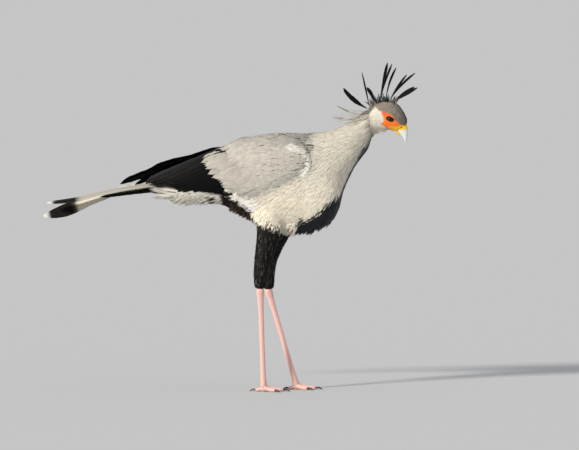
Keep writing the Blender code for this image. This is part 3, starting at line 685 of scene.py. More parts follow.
def bend_over(shape, track, up, width, thick, rise, camber=0.0, tilt=0.0):
    """Copies of a shape, each bent along its own track. Width may be given at each ring of the track.

    Rise is the height over the track at the root and at the tip.
    """
    along = unit(np.gradient(track, axis=1))
    across = unit(np.cross(along, up))
    out = np.cross(across, along)
    rings = track.shape[1]
    share = np.clip(shape.co[:, 1], 0, 1)
    y = share * (rings - 1)
    low = np.clip(np.floor(y).astype(int), 0, rings - 2)
    part = y - low
    at = [a[:, low] * (1 - part)[:, None] + a[:, low + 1] * part[:, None] for a in (track, across, out)]
    if width.ndim == 2:
        width = width[:, low] * (1 - part) + width[:, low + 1] * part
    else:
        width = width[:, None]
    x, z = shape.co[:, 0] * width, shape.co[:, 2]
    lift = rise[0][:, None] + (rise[1] - rise[0])[:, None] * (1 - (1 - share) ** LIFT_POWER)
    height = lift + z * thick - camber * x * shape.co[:, 0] + tilt * x
    return at[0] + at[1] * x[..., None] + at[2] * height[..., None]


def joined(name, shape, co, colour, spots, sizes):
    """One mesh from copies of a shape, with each copy's colour and its spot on the skin's map.

    The map Vane runs in metres, across each feather from its shaft and along it from its root.
    """
    count, corners = co.shape[0], len(shape.co)
    loops = np.concatenate([np.array(face) for face in shape.faces])
    faces = np.array([len(face) for face in shape.faces])
    starts = np.concatenate([[0], np.cumsum(faces)[:-1]])
    every = np.arange(count)[:, None]
    mesh = bpy.data.meshes.new(name)
    mesh.vertices.add(count * corners)
    mesh.vertices.foreach_set("co", co.reshape(-1))
    mesh.loops.add(count * len(loops))
    mesh.loops.foreach_set("vertex_index", (loops + every * corners).reshape(-1))
    mesh.polygons.add(count * len(faces))
    mesh.polygons.foreach_set("loop_start", (starts + every * len(loops)).reshape(-1))
    mesh.update(calc_edges=True)
    mesh.polygons.foreach_set("use_smooth", np.ones(count * len(faces), bool))
    rgba = np.ones((count, corners, 4))
    rgba[..., :3] = colour if colour.ndim == 3 else colour[:, None]
    paint = mesh.color_attributes.new(name="Plumage", type="FLOAT_COLOR", domain="POINT")
    paint.data.foreach_set("color", rgba.reshape(-1))
    vane = mesh.uv_layers.new(name="Vane")
    vane.data.foreach_set("uv", (shape.co[:, :2][loops] * sizes[:, None]).reshape(-1))
    if spots is not None:
        bake = mesh.uv_layers.new(name="OFBake")
        patch = (shape.co[:, :2][loops] - (0.0, 0.5)) * PATCH
        bake.data.foreach_set("uv", (spots[:, None] + patch).reshape(-1))
    obj = bpy.data.objects.new(name, mesh)
    bpy.context.scene.collection.objects.link(obj)
    activate(obj)
    bpy.ops.object.shade_smooth_by_angle(angle=math.radians(SHARP))
    return obj


def sow(corners, spacing):
    """Roots spread over triangles, no two nearer than the spacing, and the triangle of each."""
    a, b, c = (corners[:, k] for k in range(3))
    area = np.linalg.norm(np.cross(b - a, c - a), axis=1) / 2
    count = int(area.sum() / (spacing * MM) ** 2 * 7) + 1
    pick = random.choice(len(corners), size=count, p=area / area.sum())
    s, t = np.sqrt(random.random(count))[:, None], random.random(count)[:, None]
    share = np.stack([1 - s, s * (1 - t), s * t], axis=1)
    tries = (corners[pick] * share).sum(1)
    cell = spacing * MM
    boxes = np.floor(tries / cell).astype(int)
    kept, grid = [], {}
    for i, key in enumerate(map(tuple, boxes)):
        x, y, z = key
        around = [
            j
            for dx in (-1, 0, 1) for dy in (-1, 0, 1) for dz in (-1, 0, 1)
            for j in grid.get((x + dx, y + dy, z + dz), ())
        ]
        if around:
            gap = tries[around] - tries[i]
            if (gap * gap).sum(1).min() < cell * cell:
                continue
        grid.setdefault(key, []).append(i)
        kept.append(i)
    return tries[kept], pick[kept]


# The outlines of feathers and of the barbs of a fan: the share of the length, and of the width there
SLIM = ((0.0, 0.35), (0.25, 0.8), (0.55, 1.0), (0.8, 0.7), (1.0, 0.08))
STRIP = ((0.0, 0.4), (0.3, 0.9), (0.65, 1.0), (0.88, 0.7), (1.0, 0.12))
BARB = ((0.0, 0.5), (0.35, 1.0), (0.7, 0.7), (1.0, 0.08))
TINY = ((0.0, 0.4), (0.4, 1.0), (0.8, 0.75), (1.0, 0.15))

COAT = "name shape spacing length width thick tip follow ruffle vary shown slot"
Coat = namedtuple("Coat", COAT)

# Each coat: its piece, shape, spacing, length, width, thickness, the tips' height over the outline,
# how closely it follows the lie, its ruffle in radians, how much its feathers' shades differ, how far
# along a feather its colour is taken, and its finish
COATS = (
    Coat("crown", "tiny", 1.6, 10.0, 1.8, 0.3, 0.1, 0.5, 0.16, 0.32, 0.3, "plumage_grey"),
    Coat("cheek", "tiny", 1.4, 8.0, 1.6, 0.25, 0.1, 0.5, 0.18, 0.05, 0.3, "plumage_pale"),
    Coat("neck", "slim", 2.6, 46.0, 4.0, 0.35, 0.5, 0.5, 0.12, 0.10, 0.35, "plumage_pale"),
    Coat("breast", "slim", 3.1, 46.0, 4.8, 0.35, 0.5, 0.5, 0.12, 0.10, 0.3, "plumage_pale"),
    Coat("flank_right", "down", 5.2, 42.0, 13.0, 0.4, 1.0, 0.5, 0.16, 0.09, 0.3, "plumage_pale"),
    Coat("flank_left", "down", 5.2, 42.0, 13.0, 0.4, 1.0, 0.5, 0.16, 0.09, 0.3, "plumage_pale"),
    Coat("bend_right", "covert", 4.8, 56.0, 18.0, 0.35, 0.1, 0.5, 0.13, 0.08, 0.85, "plumage_grey"),
    Coat("bend_left", "covert", 4.8, 56.0, 18.0, 0.35, 0.1, 0.5, 0.13, 0.08, 0.85, "plumage_grey"),
    Coat("mantle_right", "covert", 6.5, 54.0, 17.0, 0.35, 0.1, 0.5, 0.12, 0.09, 0.4, "plumage_grey"),
    Coat("mantle_left", "covert", 6.5, 54.0, 17.0, 0.35, 0.1, 0.5, 0.12, 0.09, 0.4, "plumage_grey"),
    Coat("rump", "covert", 11.0, 56.0, 18.0, 0.5, 0.0, 0.5, 0.10, 0.10, 0.1, "plumage_black"),
    Coat("vent", "down", 5.0, 30.0, 11.0, 0.5, 2.0, 0.4, 0.34, 0.25, 0.6, "plumage_black"),
    Coat("undertail", "down", 4.6, 42.0, 12.0, 0.4, 2.5, 0.3, 0.22, 0.08, 0.5, "plumage_pale"),
    Coat("shins", "slim", 3.4, 22.0, 4.0, 0.6, 0.8, 0.4, 0.18, 0.20, 0.3, "plumage_black"),
)
BEND_X = 170.0
# The wing's feathers grow from the bend back: a place along x, and their size there
WING_SIZES = ((-20.0, 1.05), (100.0, 0.95), (170.0, 0.66), (250.0, 0.36))


def coat_of(centres, whose):
    """The coat that each of the skin's triangles carries; bare skin carries none."""
    x, y, z = (centres / MM).T
    bare = np.maximum(outline_depth(centres, FACE), outline_depth(centres, GAPE)) > -0.3
    on_mantle = outline_depth(centres, GREY_MANTLE)
    side = np.where(y < 0, "right", "left")
    coat = np.where(x < 245, np.char.add("flank_", side), "breast")
    coat = np.where(on_mantle > 0, np.char.add("mantle_", side), coat)
    coat = np.where((on_mantle > 0) & (x > BEND_X) & (np.abs(y) > 45), np.char.add("bend_", side), coat)
    coat = np.where(x < -20, "undertail", coat)
    coat = np.where((x < 18) & (z > 606) & (on_mantle < 0) | (x < -25) & (z > 609), "rump", coat)
    coat = np.where(outline_depth(centres, BLACK_VENT) > 0, "vent", coat)
    coat = np.where(whose == "neck", "neck", coat)
    coat = np.where(whose == "shin", "shins", coat)
    head = np.where(outline_depth(centres, CROWN) > 0, "crown", "cheek")
    coat = np.where(whose == "head", head, coat)
    return np.where((whose == "head") & bare, "none", coat)


def ground_of(skin, outline, whose, depth):
    """What the coats grow on: the skin's triangles, whose they are, and their places on its map."""
    mesh = skin.data
    mesh.calc_loop_triangles()
    corners = np.empty(len(mesh.loop_triangles) * 3, int)
    mesh.loop_triangles.foreach_get("vertices", corners)
    loops = np.empty(len(corners), int)
    mesh.loop_triangles.foreach_get("loops", loops)
    uv = np.empty(len(mesh.loops) * 2)
    mesh.uv_layers["OFBake"].uv.foreach_get("vector", uv)
    corners, loops = corners.reshape(-1, 3), loops.reshape(-1, 3)
    co = places(mesh)
    return SimpleNamespace(
        corners=co[corners], spots=uv.reshape(-1, 2)[loops].mean(1), outline=outline,
        tree=BVHTree.FromPolygons(co.tolist(), corners.tolist()),
        whose=whose[corners[:, 0]], depth=depth[corners[:, 0]],
    )


def spots_at(ground, points):
    """Each place's spot on the skin's own map."""
    found = np.array([ground.tree.find_nearest(p)[2] for p in points])
    return ground.spots[found]


def clear_of_wing_end(roots):
    """Leaves out the roots on the wings' blunt ends, which the greater coverts bridge."""
    x, y, z = (roots / MM).T
    return (x > 4) | (np.abs(y) < 30) | (z > 706)


def grow_coats(ground, shapes, pale, black):
    carried = coat_of(ground.corners.mean(1), ground.whose)
    for coat in COATS:
        mine = np.flatnonzero(carried == coat.name)
        roots, pick = sow(ground.corners[mine], coat.spacing)
        if coat.name.startswith("mantle"):
            kept = clear_of_wing_end(roots)
            roots, pick = roots[kept], pick[kept]
        material = black if coat.slot == "plumage_black" else pale
        lay_coat(ground, coat, shapes[coat.shape], roots, mine[pick], lie_at(roots), material)


# Painted shade along a feather: darker at its hidden root, where the feathers over it shade it, and a little lighter at
# its tip; and how much a fan's blades differ
ROOT_SHADE = 0.86
TIP_SHADE = 1.03
BLADE_VARY = 0.05
OVERHANG = 6.0
# How far a feather's colour strays over a marking's edge, in millimetres, where it isn't 3
MARK_STRAY = {"breast": 8.0, "vent": 2.0, "crown": 1.0, "cheek": 1.0}
# The last rows of grey coverts: how many, how far each row's tips lie from the next, how far apart the
# feathers stand, their length and width, the heights of their roots and tips over the flight feathers,
# and over the wing's end, how much each is turned, how far it may reach over the back's outline behind
# the wing and stays under it before, how squarely the wing faces the side there, and how shades differ
GREATER_ROWS = 5
GREATER_GAP = 9.0
GREATER_SPACING = 7.5
GREATER_LENGTH = 54.0
GREATER_WIDTH = 19.0
GREATER_RISE = (-5.0, 1.8)
BRIDGE_RISE = (-2.0, 2.2)
GREATER_TURN = 0.07
GREATER_OVER = 6.0
GREATER_UNDER = 7.0
GREATER_FACING = 0.4
GREATER_SHADE = (0.84, 1.01)
# Where the wing ends over the flight feathers, and coverts bridge the step
WING_END = -10.0


def grow_greater_coverts(ground, side, sign, shape, material):
    """The last rows of grey coverts, which end in scallops over the flight feathers."""
    edge = np.array(MANTLE_EDGE)
    count = int(np.linalg.norm(np.diff(edge, axis=0), axis=1).sum() / GREATER_SPACING)
    back = -np.array(REMEX_WAY) / np.linalg.norm(REMEX_WAY)
    share = np.linspace(0, 1, shape.rings + 1)
    stations = np.arange(-95.0, 160.0, 5.0)
    tops = top_of((f"quills_{side}", f"wing_{side}", "trunk"), stations)
    tracks, ups = [], []
    for row in range(GREATER_ROWS):
        tips = spaced(edge, count) - back * (GREATER_GAP * row + random.uniform(0, 4, (count, 1)))
        for tip in tips + random.uniform(-1.5, 1.5, tips.shape):
            turn = random.normal(0, GREATER_TURN)
            way = back + (-back[1] * turn, back[0] * turn)
            line = tip - way * GREATER_LENGTH * random.uniform(0.85, 1.1) * (1 - share[:, None])
            over = np.where(line[:, 0] < WING_END, GREATER_OVER, -GREATER_UNDER)
            if (line[:, 1] > np.interp(line[:, 0], stations, tops) + over).any():
                continue
            points, out = side_hits(ground.outline, sign, *line.T)
            if (out[:, 1] * sign).min() < GREATER_FACING:
                continue
            low, high = GREATER_RISE
            if tip[0] < WING_END:
                points[:, 1] = np.polyval(np.polyfit(line[:, 0], points[:, 1], 2), line[:, 0])
                low, high = BRIDGE_RISE
            rise = low + (high - low) * np.sqrt(share) + 0.2 * row
            points[:, 1] += sign * rise * MM
            tracks.append(points)
            ups.append(np.tile(unit(out.mean(0) + (0, sign * 1.0, 0)), (len(points), 1)))
    tracks, ups = np.array(tracks), np.array(ups)
    count = len(tracks)
    width = GREATER_WIDTH * MM * random.uniform(0.85, 1.1, count)
    shade = random.uniform(*GREATER_SHADE, (count, 1))
    blades = 1 + BLADE_VARY * random.uniform(-1, 1, (count, shape.blade.max() + 1))
    # Painted shade: each covert darker towards its root, under the row over it
    along = ROOT_SHADE + (TIP_SHADE - ROOT_SHADE) * smooth(0.3, 1.0, shape.co[:, 1])
    colour = linear(COLOURS["mantle"]) * (shade * blades[:, shape.blade] * along)[..., None]
    place_feathers(
        ground, f"greater_coverts_{side}", shape, tracks, ups, width, 0.4 * MM, colour, material,
    )


def place_feathers(ground, name, shape, track, up, width, thick, colour, material):
    """Feathers on tracks of their own, free of the outline."""
    count = len(track)
    zero = np.zeros(count)
    co = bend_over(shape, track, up, width, thick, (zero, zero))
    length = np.linalg.norm(np.diff(track, axis=1), axis=-1).sum(1)
    size = np.stack([width if width.ndim == 1 else width.max(1), length], axis=1)
    made = joined(name, shape, co, colour, spots_at(ground, track[:, 0]), size)
    made.data.materials.append(material)
    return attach(made, "root")


# Loose ends that stand clear of the coat: the piece, the stretch of the side view where they root and
# how far the surface there must face down, their spacing, the way they hang and how much that differs,
# their length, width and droop, their shape, shade and finish
Fringe = namedtuple("Fringe", "name area down spacing way stray length width droop shape shade slot")
FRINGES = (
    Fringe(
        "throat_wisps", ((402.0, 806.0), (424.0, 770.0), (470.0, 765.0), (476.0, 785.0), (440.0, 800.0)),
        -0.7, 2.0, (-0.75, 0.0, -0.65), 0.2, 15.0, 0.8, 0.0, "slim", 0.85, "plumage_pale",
    ),
    Fringe(
        "flank_hem", ((66.0, 540.0), (84.0, 524.0), (96.0, 509.0), (120.0, 505.0), (146.0, 494.0),
        (166.0, 489.0), (178.0, 478.0), (196.0, 489.0), (206.0, 500.0), (196.0, 514.0), (166.0, 512.0),
        (120.0, 530.0), (84.0, 548.0)),
        9.0, 4.4, (-0.36, 0.0, -0.92), 0.13, 22.0, 10.0, 0.0, "down", 0.95, "plumage_pale",
    ),
    Fringe(
        "vent_edge", ((14.0, 590.0), (34.0, 560.0), (60.0, 540.0), (96.0, 505.0), (80.0, 470.0), (0.0, 500.0)),
        -0.1, 5.0, (-0.9, 0.0, -0.4), 0.28, 18.0, 6.5, 2.0, "down", 1.0, "plumage_black",
    ),
    # The ragged lower edge of the breast's painted shade
    Fringe(
        "breast_shade_edge", ((200.0, 505.0), (258.0, 548.0), (300.0, 592.0), (335.0, 590.0), (300.0, 480.0), (200.0, 450.0)),
        -0.45, 6.0, (-0.85, 0.0, -0.45), 0.2, 26.0, 9.0, 0.0, "down", 1.1, "plumage_pale",
    ),
    Fringe(
        "undertail_edge", ((-195.0, 606.0), (-195.0, 560.0), (-50.0, 560.0), (-60.0, 592.0)),
        -0.25, 6.5, (-0.97, 0.0, -0.2), 0.16, 24.0, 9.0, 0.0, "down", 1.0, "plumage_pale",
    ),
    Fringe(
        "undertail_end", ((-200.0, 630.0), (-200.0, 580.0), (-150.0, 588.0), (-140.0, 618.0)),
        9.0, 6.5, (-1.0, 0.0, 0.14), 0.09, 66.0, 13.0, -4.0, "down", 1.0, "plumage_pale",
    ),
)


def grow_fringe(ground, fringe, shape, material):
    a, b, c = (ground.corners[:, k] for k in range(3))
    down = unit(np.cross(b - a, c - a))[:, 2]
    mine = (outline_depth(ground.corners.mean(1), fringe.area) > 0) & (down < fringe.down)
    mine = np.flatnonzero(mine)
    roots, pick = sow(ground.corners[mine], fringe.spacing)
    count = len(roots)
    roots, out = nearest(ground.outline, roots)
    ways = unit(np.array(fringe.way) + 0.25 * out + random.normal(0, fringe.stray, (count, 3)))
    length = fringe.length * random.uniform(0.6, 1.15, count)
    share = np.linspace(0, 1, shape.rings + 1)[None, :, None]
    track = roots[:, None] - 3 * MM * out[:, None] + ways[:, None] * length[:, None, None] * share * MM
    track[..., 2] -= share[..., 0] ** 2 * fringe.droop * MM
    beside = np.sign(roots[:, 1:2]) * (0, 1, 0)
    up = np.repeat(unit(out + 0.8 * beside)[:, None], shape.rings + 1, axis=1)
    width = fringe.width * MM * random.uniform(0.8, 1.2, count)
    shade = fringe.shade * random.uniform(0.9, 1.06, (count, 1))
    colour = plumage(roots, ground.whose[mine[pick]], False)
    if fringe.name == "flank_hem":
        colour[:] = linear(COLOURS["cream"])
    # The breast's lower fringe in the same painted shade as the breast's front
    if fringe.name == "breast_shade_edge":
        colour[:] = linear(COLOURS["breast_shade"])
    if fringe.name == "vent_edge":
        brown = random.random((count, 1)) ** 2
        colour = linear(COLOURS["vent"]) * (1 - brown) + linear("#4e4035") * brown
    place_feathers(ground, fringe.name, shape, track, up, width, 0.4 * MM, colour * shade, material)


# The loose pale feathers of the nape: how many, and their length and width in millimetres
NAPE_COUNT = 46
NAPE_LENGTH = (45.0, 92.0)
NAPE_WIDTH = 2.0


def grow_nape(ground, shape, material):
    middle = ground.corners.mean(1) / MM
    x, y, z = middle.T
    mine = np.flatnonzero((x > 372) & (x < 425) & (z > 812) & (z < 856) & (np.abs(y) < 26))
    roots, _ = sow(ground.corners[mine], 3.0)
    roots = roots[random.choice(len(roots), NAPE_COUNT, replace=False)]
    _, out = nearest(ground.outline, roots)
    lift = random.uniform(-0.30, 0.16, NAPE_COUNT)
    ways = np.stack([np.full(NAPE_COUNT, -0.95), 0.25 * out[:, 1], lift], axis=1)
    length = random.uniform(*NAPE_LENGTH, NAPE_COUNT) * MM
    share = np.linspace(0, 1, shape.rings + 1)[None, :, None]
    bow = out[:, None] * 6 * MM * np.sin(share * math.pi / 2)
    track = roots[:, None] + unit(ways)[:, None] * length[:, None, None] * share + bow
    track[..., 2] -= (share[..., 0] ** 2) * random.uniform(-4, 8, (NAPE_COUNT, 1)) * MM
    up = np.tile(np.array((0.2, 0.0, 1.0)), (NAPE_COUNT, shape.rings + 1, 1)) + out[:, None]
    shade = random.uniform(0.4, 1.05, (NAPE_COUNT, 1))
    place_feathers(
        ground, "nape_filaments", shape, track, unit(up), np.full(NAPE_COUNT, NAPE_WIDTH * MM), 0.5 * MM,
        linear("#dedbd2") * shade, material,
    )


# Short black and grey feathers where the crest grows: how many, and how long
CREST_BASES = 76
CREST_BASE_LENGTH = (12.0, 29.0)


def grow_crest_bases(ground, shape, material):
    middle = ground.corners.mean(1) / MM
    x, y, z = middle.T
    mine = np.flatnonzero((x > 424) & (x < 494) & (z > 850) & (np.abs(y) < 17))
    roots, _ = sow(ground.corners[mine], 2.6)
    roots = roots[random.choice(len(roots), min(CREST_BASES, len(roots)), replace=False)]
    count = len(roots)
    aim = (roots / MM - (466.0, 0.0, 835.0)) / (34, 18, 30)
    ways = unit(aim * (1.0, 0.5, 1.0) + (-0.1, 0, 0.5) + random.uniform(-0.25, 0.25, (count, 3)))
    length = random.uniform(*CREST_BASE_LENGTH, count) * MM
    share = np.linspace(0, 1, shape.rings + 1)[None, :, None]
    track = roots[:, None] + ways[:, None] * length[:, None, None] * share
    turned = unit((0, 1.0, 0) + random.normal(0, 0.5, (count, 3)))
    up = np.repeat(turned[:, None], shape.rings + 1, axis=1)
    grey = random.random((count, 1)) < 0.5
    colour = np.where(grey, linear("#64615f"), linear("#191716"))
    place_feathers(
        ground, "crest_bases", shape, track, up, random.uniform(2.0, 4.5, count) * MM, 0.5 * MM, colour,
        material,
    )


def within(roots, ways, sizes, outline, past, inside=1):
    """The share of each length that stays inside an outline of the side view, or just past it.

    With inside -1 it is the share that stays outside.
    """
    share = np.full(len(roots), 0.2)
    going = np.ones(len(roots), bool)
    for part in np.linspace(0.2, 1.0, 9):
        at = roots + ways * (sizes * part)[:, None]
        going &= outline_depth(at, outline) * inside > -past * random.random(len(roots))
        share[going] = part
    return share


def lay_coat(ground, coat, shape, roots, pick, ways, material):
    """One joined piece of feathers from their roots, each a little different from the next."""
    count = len(roots)
    even = random.uniform(-1, 1, (5, count))
    _, out = nearest(ground.outline, roots)
    turn = (even[0] + even[1])[:, None] * coat.ruffle
    ways = unit(ways - out * dot(ways, out))
    ways = ways * np.cos(turn) + np.cross(out, ways) * np.sin(turn)
    size = np.ones(count)
    if coat.name.startswith(("mantle", "bend")):
        size = np.interp(roots[:, 0] / MM, *np.array(WING_SIZES).T)
    length = coat.length * MM * (1 + 0.14 * even[2]) * size
    width = coat.width * MM * (1 + 0.12 * even[1]) * size
    if coat.name.startswith(("mantle", "bend")):
        length = length * within(roots, ways, length, GREY_MANTLE, OVERHANG)
    elif coat.name.startswith(("flank", "breast")):
        clear = within(roots, ways, length, GREY_MANTLE, OVERHANG, -1)
        length = length * np.where(roots[:, 2] < 740 * MM, np.maximum(clear, 0.3), 1)
    elif coat.name in ("crown", "cheek"):
        length = length * within(roots, ways, length, FACE, 1.5, -1)
    track, up = on_skin(ground.outline, roots, ways, length, shape.rings + 1, coat.follow)
    lift = 0.25 if coat.length < 20 else 0.5
    rise = ((0.6 - ground.depth[pick]) * MM, (coat.tip + lift * even[3]) * MM)
    co = bend_over(shape, track, up, width, coat.thick * MM, rise)
    stray = MARK_STRAY[coat.name] if coat.name in MARK_STRAY else 3.0
    shown = track[:, int(coat.shown * shape.rings)] + random.uniform(-1, 1, (count, 3)) * stray * MM
    colour = plumage(shown, ground.whose[pick], False)
    if coat.name == "vent":
        brown = random.random((count, 1)) ** 3 * smooth(575, 545, roots[:, 2:] / MM)
        colour = colour + (linear("#4e4035") - colour) * brown * (colour[:, :1] < 0.1)
    if coat.name == "shins":
        # Painted highlight: a few brownish-grey feathers stand for the sheen that the black thighs catch
        wear_and_sheen = random.random((count, 1)) ** 8
        colour = colour + (linear("#4d463b") - colour) * wear_and_sheen
    if coat.name == "rump":
        colour = np.where(np.abs(roots[:, 1:2]) < 25 * MM, linear(COLOURS["black"]), colour)
    if coat.name == "undertail":
        dark = random.random((count, 1)) < 0.55 * smooth(-80, -30, shown[:, :1] / MM)
        colour = np.where(dark, linear("#3b3733"), colour)
    vary = coat.vary + 0.25 * (colour[:, 0] < 0.1)
    colour = colour * (1 + vary * even[4])[:, None]
    blades = 1 + BLADE_VARY * random.uniform(-1, 1, (count, shape.blade.max() + 1))
    # Painted shade: each feather darker towards its root, under the feathers over it
    along = ROOT_SHADE + (TIP_SHADE - ROOT_SHADE) * smooth(0.0, 0.7, shape.co[:, 1])
    colour = colour[:, None] * (blades[:, shape.blade] * along)[..., None]
    made = joined(
        coat.name + "_feathers", shape, co, colour, spots_at(ground, roots), np.stack([width, length], 1)
    )
    made.data.materials.append(material)
    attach(made, "root")
    print(coat.name, count, "feathers", count * sum(len(f) - 2 for f in shape.faces), "triangles")
    return made


def cut(node, axis, at):
    """Where a plane across an axis, at a height along it, cuts the edges of a CAD node."""
    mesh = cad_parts[node].data
    co, ends = places(mesh), edges_of(mesh)
    here = co @ axis
    a, b = here[ends[:, 0]], here[ends[:, 1]]
    hit = (a - at) * (b - at) < 0
    share = ((at - a[hit]) / (b[hit] - a[hit]))[:, None]
    return co[ends[hit, 0]] * (1 - share) + co[ends[hit, 1]] * share


def blade_of(node, root, rings):
    """The middle line, the flat side's normal and the width along a CAD node that is a blade."""
    co = places(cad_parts[node].data)
    _, _, ways = np.linalg.svd(co - co.mean(0), full_matrices=False)
    axis = ways[0] * np.sign(((co.mean(0) - root) @ ways[0]))
    near, far = (co @ axis).min(), (co @ axis).max()
    track, widths, sides = [], [], []
    for share in np.linspace(0.004, 0.996, rings):
        found = cut(node, axis, near + (far - near) * share)
        middle = (found.max(0) + found.min(0)) / 2
        side = np.linalg.svd(found - middle, full_matrices=False)[2][0]
        if sides and side @ sides[-1] < 0:
            side = -side
        track.append(middle)
        widths.append(np.ptp(found @ side))
        sides.append(side)
    track = spread_rows(np.array(track), 2)
    sides = spread_rows(np.array(sides), 4)
    return track, unit(np.cross(sides, np.gradient(track, axis=0))), np.array(widths)


def spread_rows(rows, times):
    """Rows evened out with the rows before and after them."""
    for _ in range(times):
        middle = (rows[:-2] + rows[1:-1] + rows[2:]) / 3
        rows = np.concatenate([rows[:1], middle, rows[-1:]])
    return rows


# A long vane's edges are a little uneven, as shares of its width
EDGE_NOISE = 0.05


def make_blade(name, nodes, shape, track, up, width, thick, colour, material, tilt=0.0):
    """Long feathers of one kind: vanes with uneven edges, each with a round shaft along it."""
    count = len(track)
    uneven = 1 + EDGE_NOISE * random.uniform(-1, 1, width.shape)
    zero = np.zeros(count)
    vane = bend_over(shape, track, up, width * uneven, thick, (zero, zero), 0.06, tilt)
    taper = np.linspace(1.0, 0.3, track.shape[1])
    quill = min(2.4 * MM, width.max() * 0.16)
    shaft = bend_over(
        shape, track[:, : track.shape[1] - 1], up[:, : track.shape[1] - 1],
        np.tile(taper[:-1] * quill, (count, 1)), quill * 1.1, (zero + thick * 0.3, zero),
    )
    both = np.concatenate([vane, shaft])
    share = np.clip(shape.co[:, 1], 0, 1)
    across = shape.co[:, 0] * 2
    paint = np.concatenate([colour(share, across, vane), colour(share, across * 0, shaft) * 0.7])
    length = np.linalg.norm(np.diff(track, axis=1), axis=-1).sum(1)
    size = np.stack([width.max(1), length], axis=1)
    sizes = np.concatenate([size, size * 0])
    obj = joined(name, shape, both, paint, None, sizes)
    obj.data.materials.append(material)
    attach(obj, "root")
    if nodes:
        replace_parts(obj, *nodes)
    return obj


def banded(base, bands=(), edge=None):
    """A colour along a feather: base, then each band's from its share of the length on, and an edge painted pale as a
    highlight, where a glossy vane catches the light.
    """
    def paint(share, across, vane):
        colour = np.tile(linear(base), (len(vane), len(share), 1))
        for start, shade in bands:
            step = smooth(start - 0.012, start + 0.012, share)[None, :, None]
            colour = colour + (linear(shade) - colour) * step
        if edge:
            # Painted highlight: a pale rim along the vane's edge, of random strength
            rim = smooth(0.5, 1.0, across)[None, :, None] * random.random((len(vane), 1, 1)) ** 3
            colour = colour + (linear(edge) - colour) * rim
        return colour
    return paint


HEAD_MIDDLE = np.array((0.465, 0.0, 0.83))
TAIL_ROOT = np.array((-0.10, 0.0, 0.63))


def full(width, least, near, tip):
    """A blade's widths, no narrower than a share of its widest past its root, and blunt at its tip."""
    share = np.linspace(0, 1, len(width))
    floor = width.max() * least * smooth(0, near, share) * smooth(1.0, 0.99 - tip, share)
    return np.maximum(width, floor)


def make_crest(shape, material):
    plumes = sorted(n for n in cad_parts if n.startswith("crest_plume"))
    for node in plumes:
        track, up, width = blade_of(node, HEAD_MIDDLE, shape.rings)
        width = full(width, 0.42, 0.08, 0.02)
        paint = banded("#3a3734", ((0.22, "#131211"),))
        make_blade(
            node + "_vane", [node], shape, track[None], up[None], width[None], 0.9 * MM, paint, material,
        )
    for node in sorted(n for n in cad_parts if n.startswith("nape_plume")):
        track, up, width = blade_of(node, HEAD_MIDDLE, shape.rings)
        paint = banded("#b9b3a8", ((0.5, "#8f8b86"),))
        make_blade(
            node + "_vane", [node], shape, track[None], up[None], width[None], 0.7 * MM, paint, material,
        )


# How far each streamer has turned its flat side to the camera, in degrees, by share of the length
STREAMER_TURN = {
    "right": ((0.0, 35.0), (1.0, 35.0)),
    "left": ((0.0, 15.0), (0.66, 22.0), (0.77, 66.0), (1.0, 75.0)),
}


def make_streamers(shape, material):
    for side in SIDES:
        node = f"tail_streamer_{side}"
        track, up, width = blade_of(node, TAIL_ROOT, shape.rings)
        width = full(width, 0.85, 0.06, 0.10)
        up = up * np.sign(up[:, 2].mean())
        turn = np.radians(np.interp(np.linspace(0, 1, shape.rings), *np.array(STREAMER_TURN[side]).T))
        up = unit(up * np.cos(turn)[:, None] + (0, -1, 0) * np.sin(turn)[:, None])
        base, bands = "#a8a59e", ((0.745, "#161413"), (0.965, "#e9e5da"))
        if side == "left":
            base, bands = "#cdc6b6", ((0.735, "#161413"), (0.968, "#e9e5da"))
        paint = banded(base, bands)
        make_blade(
            node + "_vane", [node], shape, track[None], up[None], width[None], 1.3 * MM, paint, material,
        )


# The folded flight feathers: the line of their tips on each wing, in the side view in millimetres, and
# the way that they all point back to their roots
REMEX_TIPS = {
    "right": ((-252.0, 629.0), (-194.0, 620.0), (-135.0, 610.0), (-75.0, 603.5), (-15.0, 599.0)),
    "left": (
        (-126.0, 692.0), (-227.0, 668.0), (-333.0, 626.0), (-280.0, 617.0), (-200.0, 612.0),
        (-120.0, 606.0), (-20.0, 602.0),
    ),
}
REMEX_WAY = (0.925, 0.38)
REMIGES = 13
REMEX_WIDTH = 25.0
REMEX_LAYER = 0.35
# Each vane leans, so that its lower edge lies over the next one's upper edge
REMEX_TILT = 0.07
REMEX_ROOT_X = 22.0
# How far the topmost vanes' roots lie under the back's outline, beneath the coverts
REMEX_SUNK = 14.0
REMEX_OUTLINE = ((0.0, 0.7), (0.3, 1.0), (0.8, 1.0), (0.92, 0.8), (0.98, 0.45), (1.0, 0.12))


def spaced(line, count):
    """Places evenly spaced along an open line."""
    line = np.array(line)
    walked = np.concatenate([[0], np.cumsum(np.linalg.norm(np.diff(line, axis=0), axis=1))])
    at = np.linspace(0, walked[-1], count)
    return np.stack([np.interp(at, walked, line[:, k]) for k in range(line.shape[1])], axis=1)


def side_hits(tree, sign, x, z):
    """The outermost places on one side of the bird at places of the side view, with the normals."""
    points, out = [], []
    for px, pz in zip(x, z):
        hit = tree.ray_cast(Vector((px * MM, sign * 0.4, pz * MM)), Vector((0, -sign, 0)))
        mine = hit[0] is not None and hit[0].y * sign > 0.003
        points.append((px * MM, hit[0].y if mine else math.nan, pz * MM))
        out.append(hit[1] if mine else (0, sign, 0))
    points, out = np.array(points), np.array(out, float)
    known = ~np.isnan(points[:, 1])
    steps = np.arange(len(points))
    points[:, 1] = np.interp(steps, steps[known], points[known, 1]) if known.any() else sign * 0.04
    return points, out


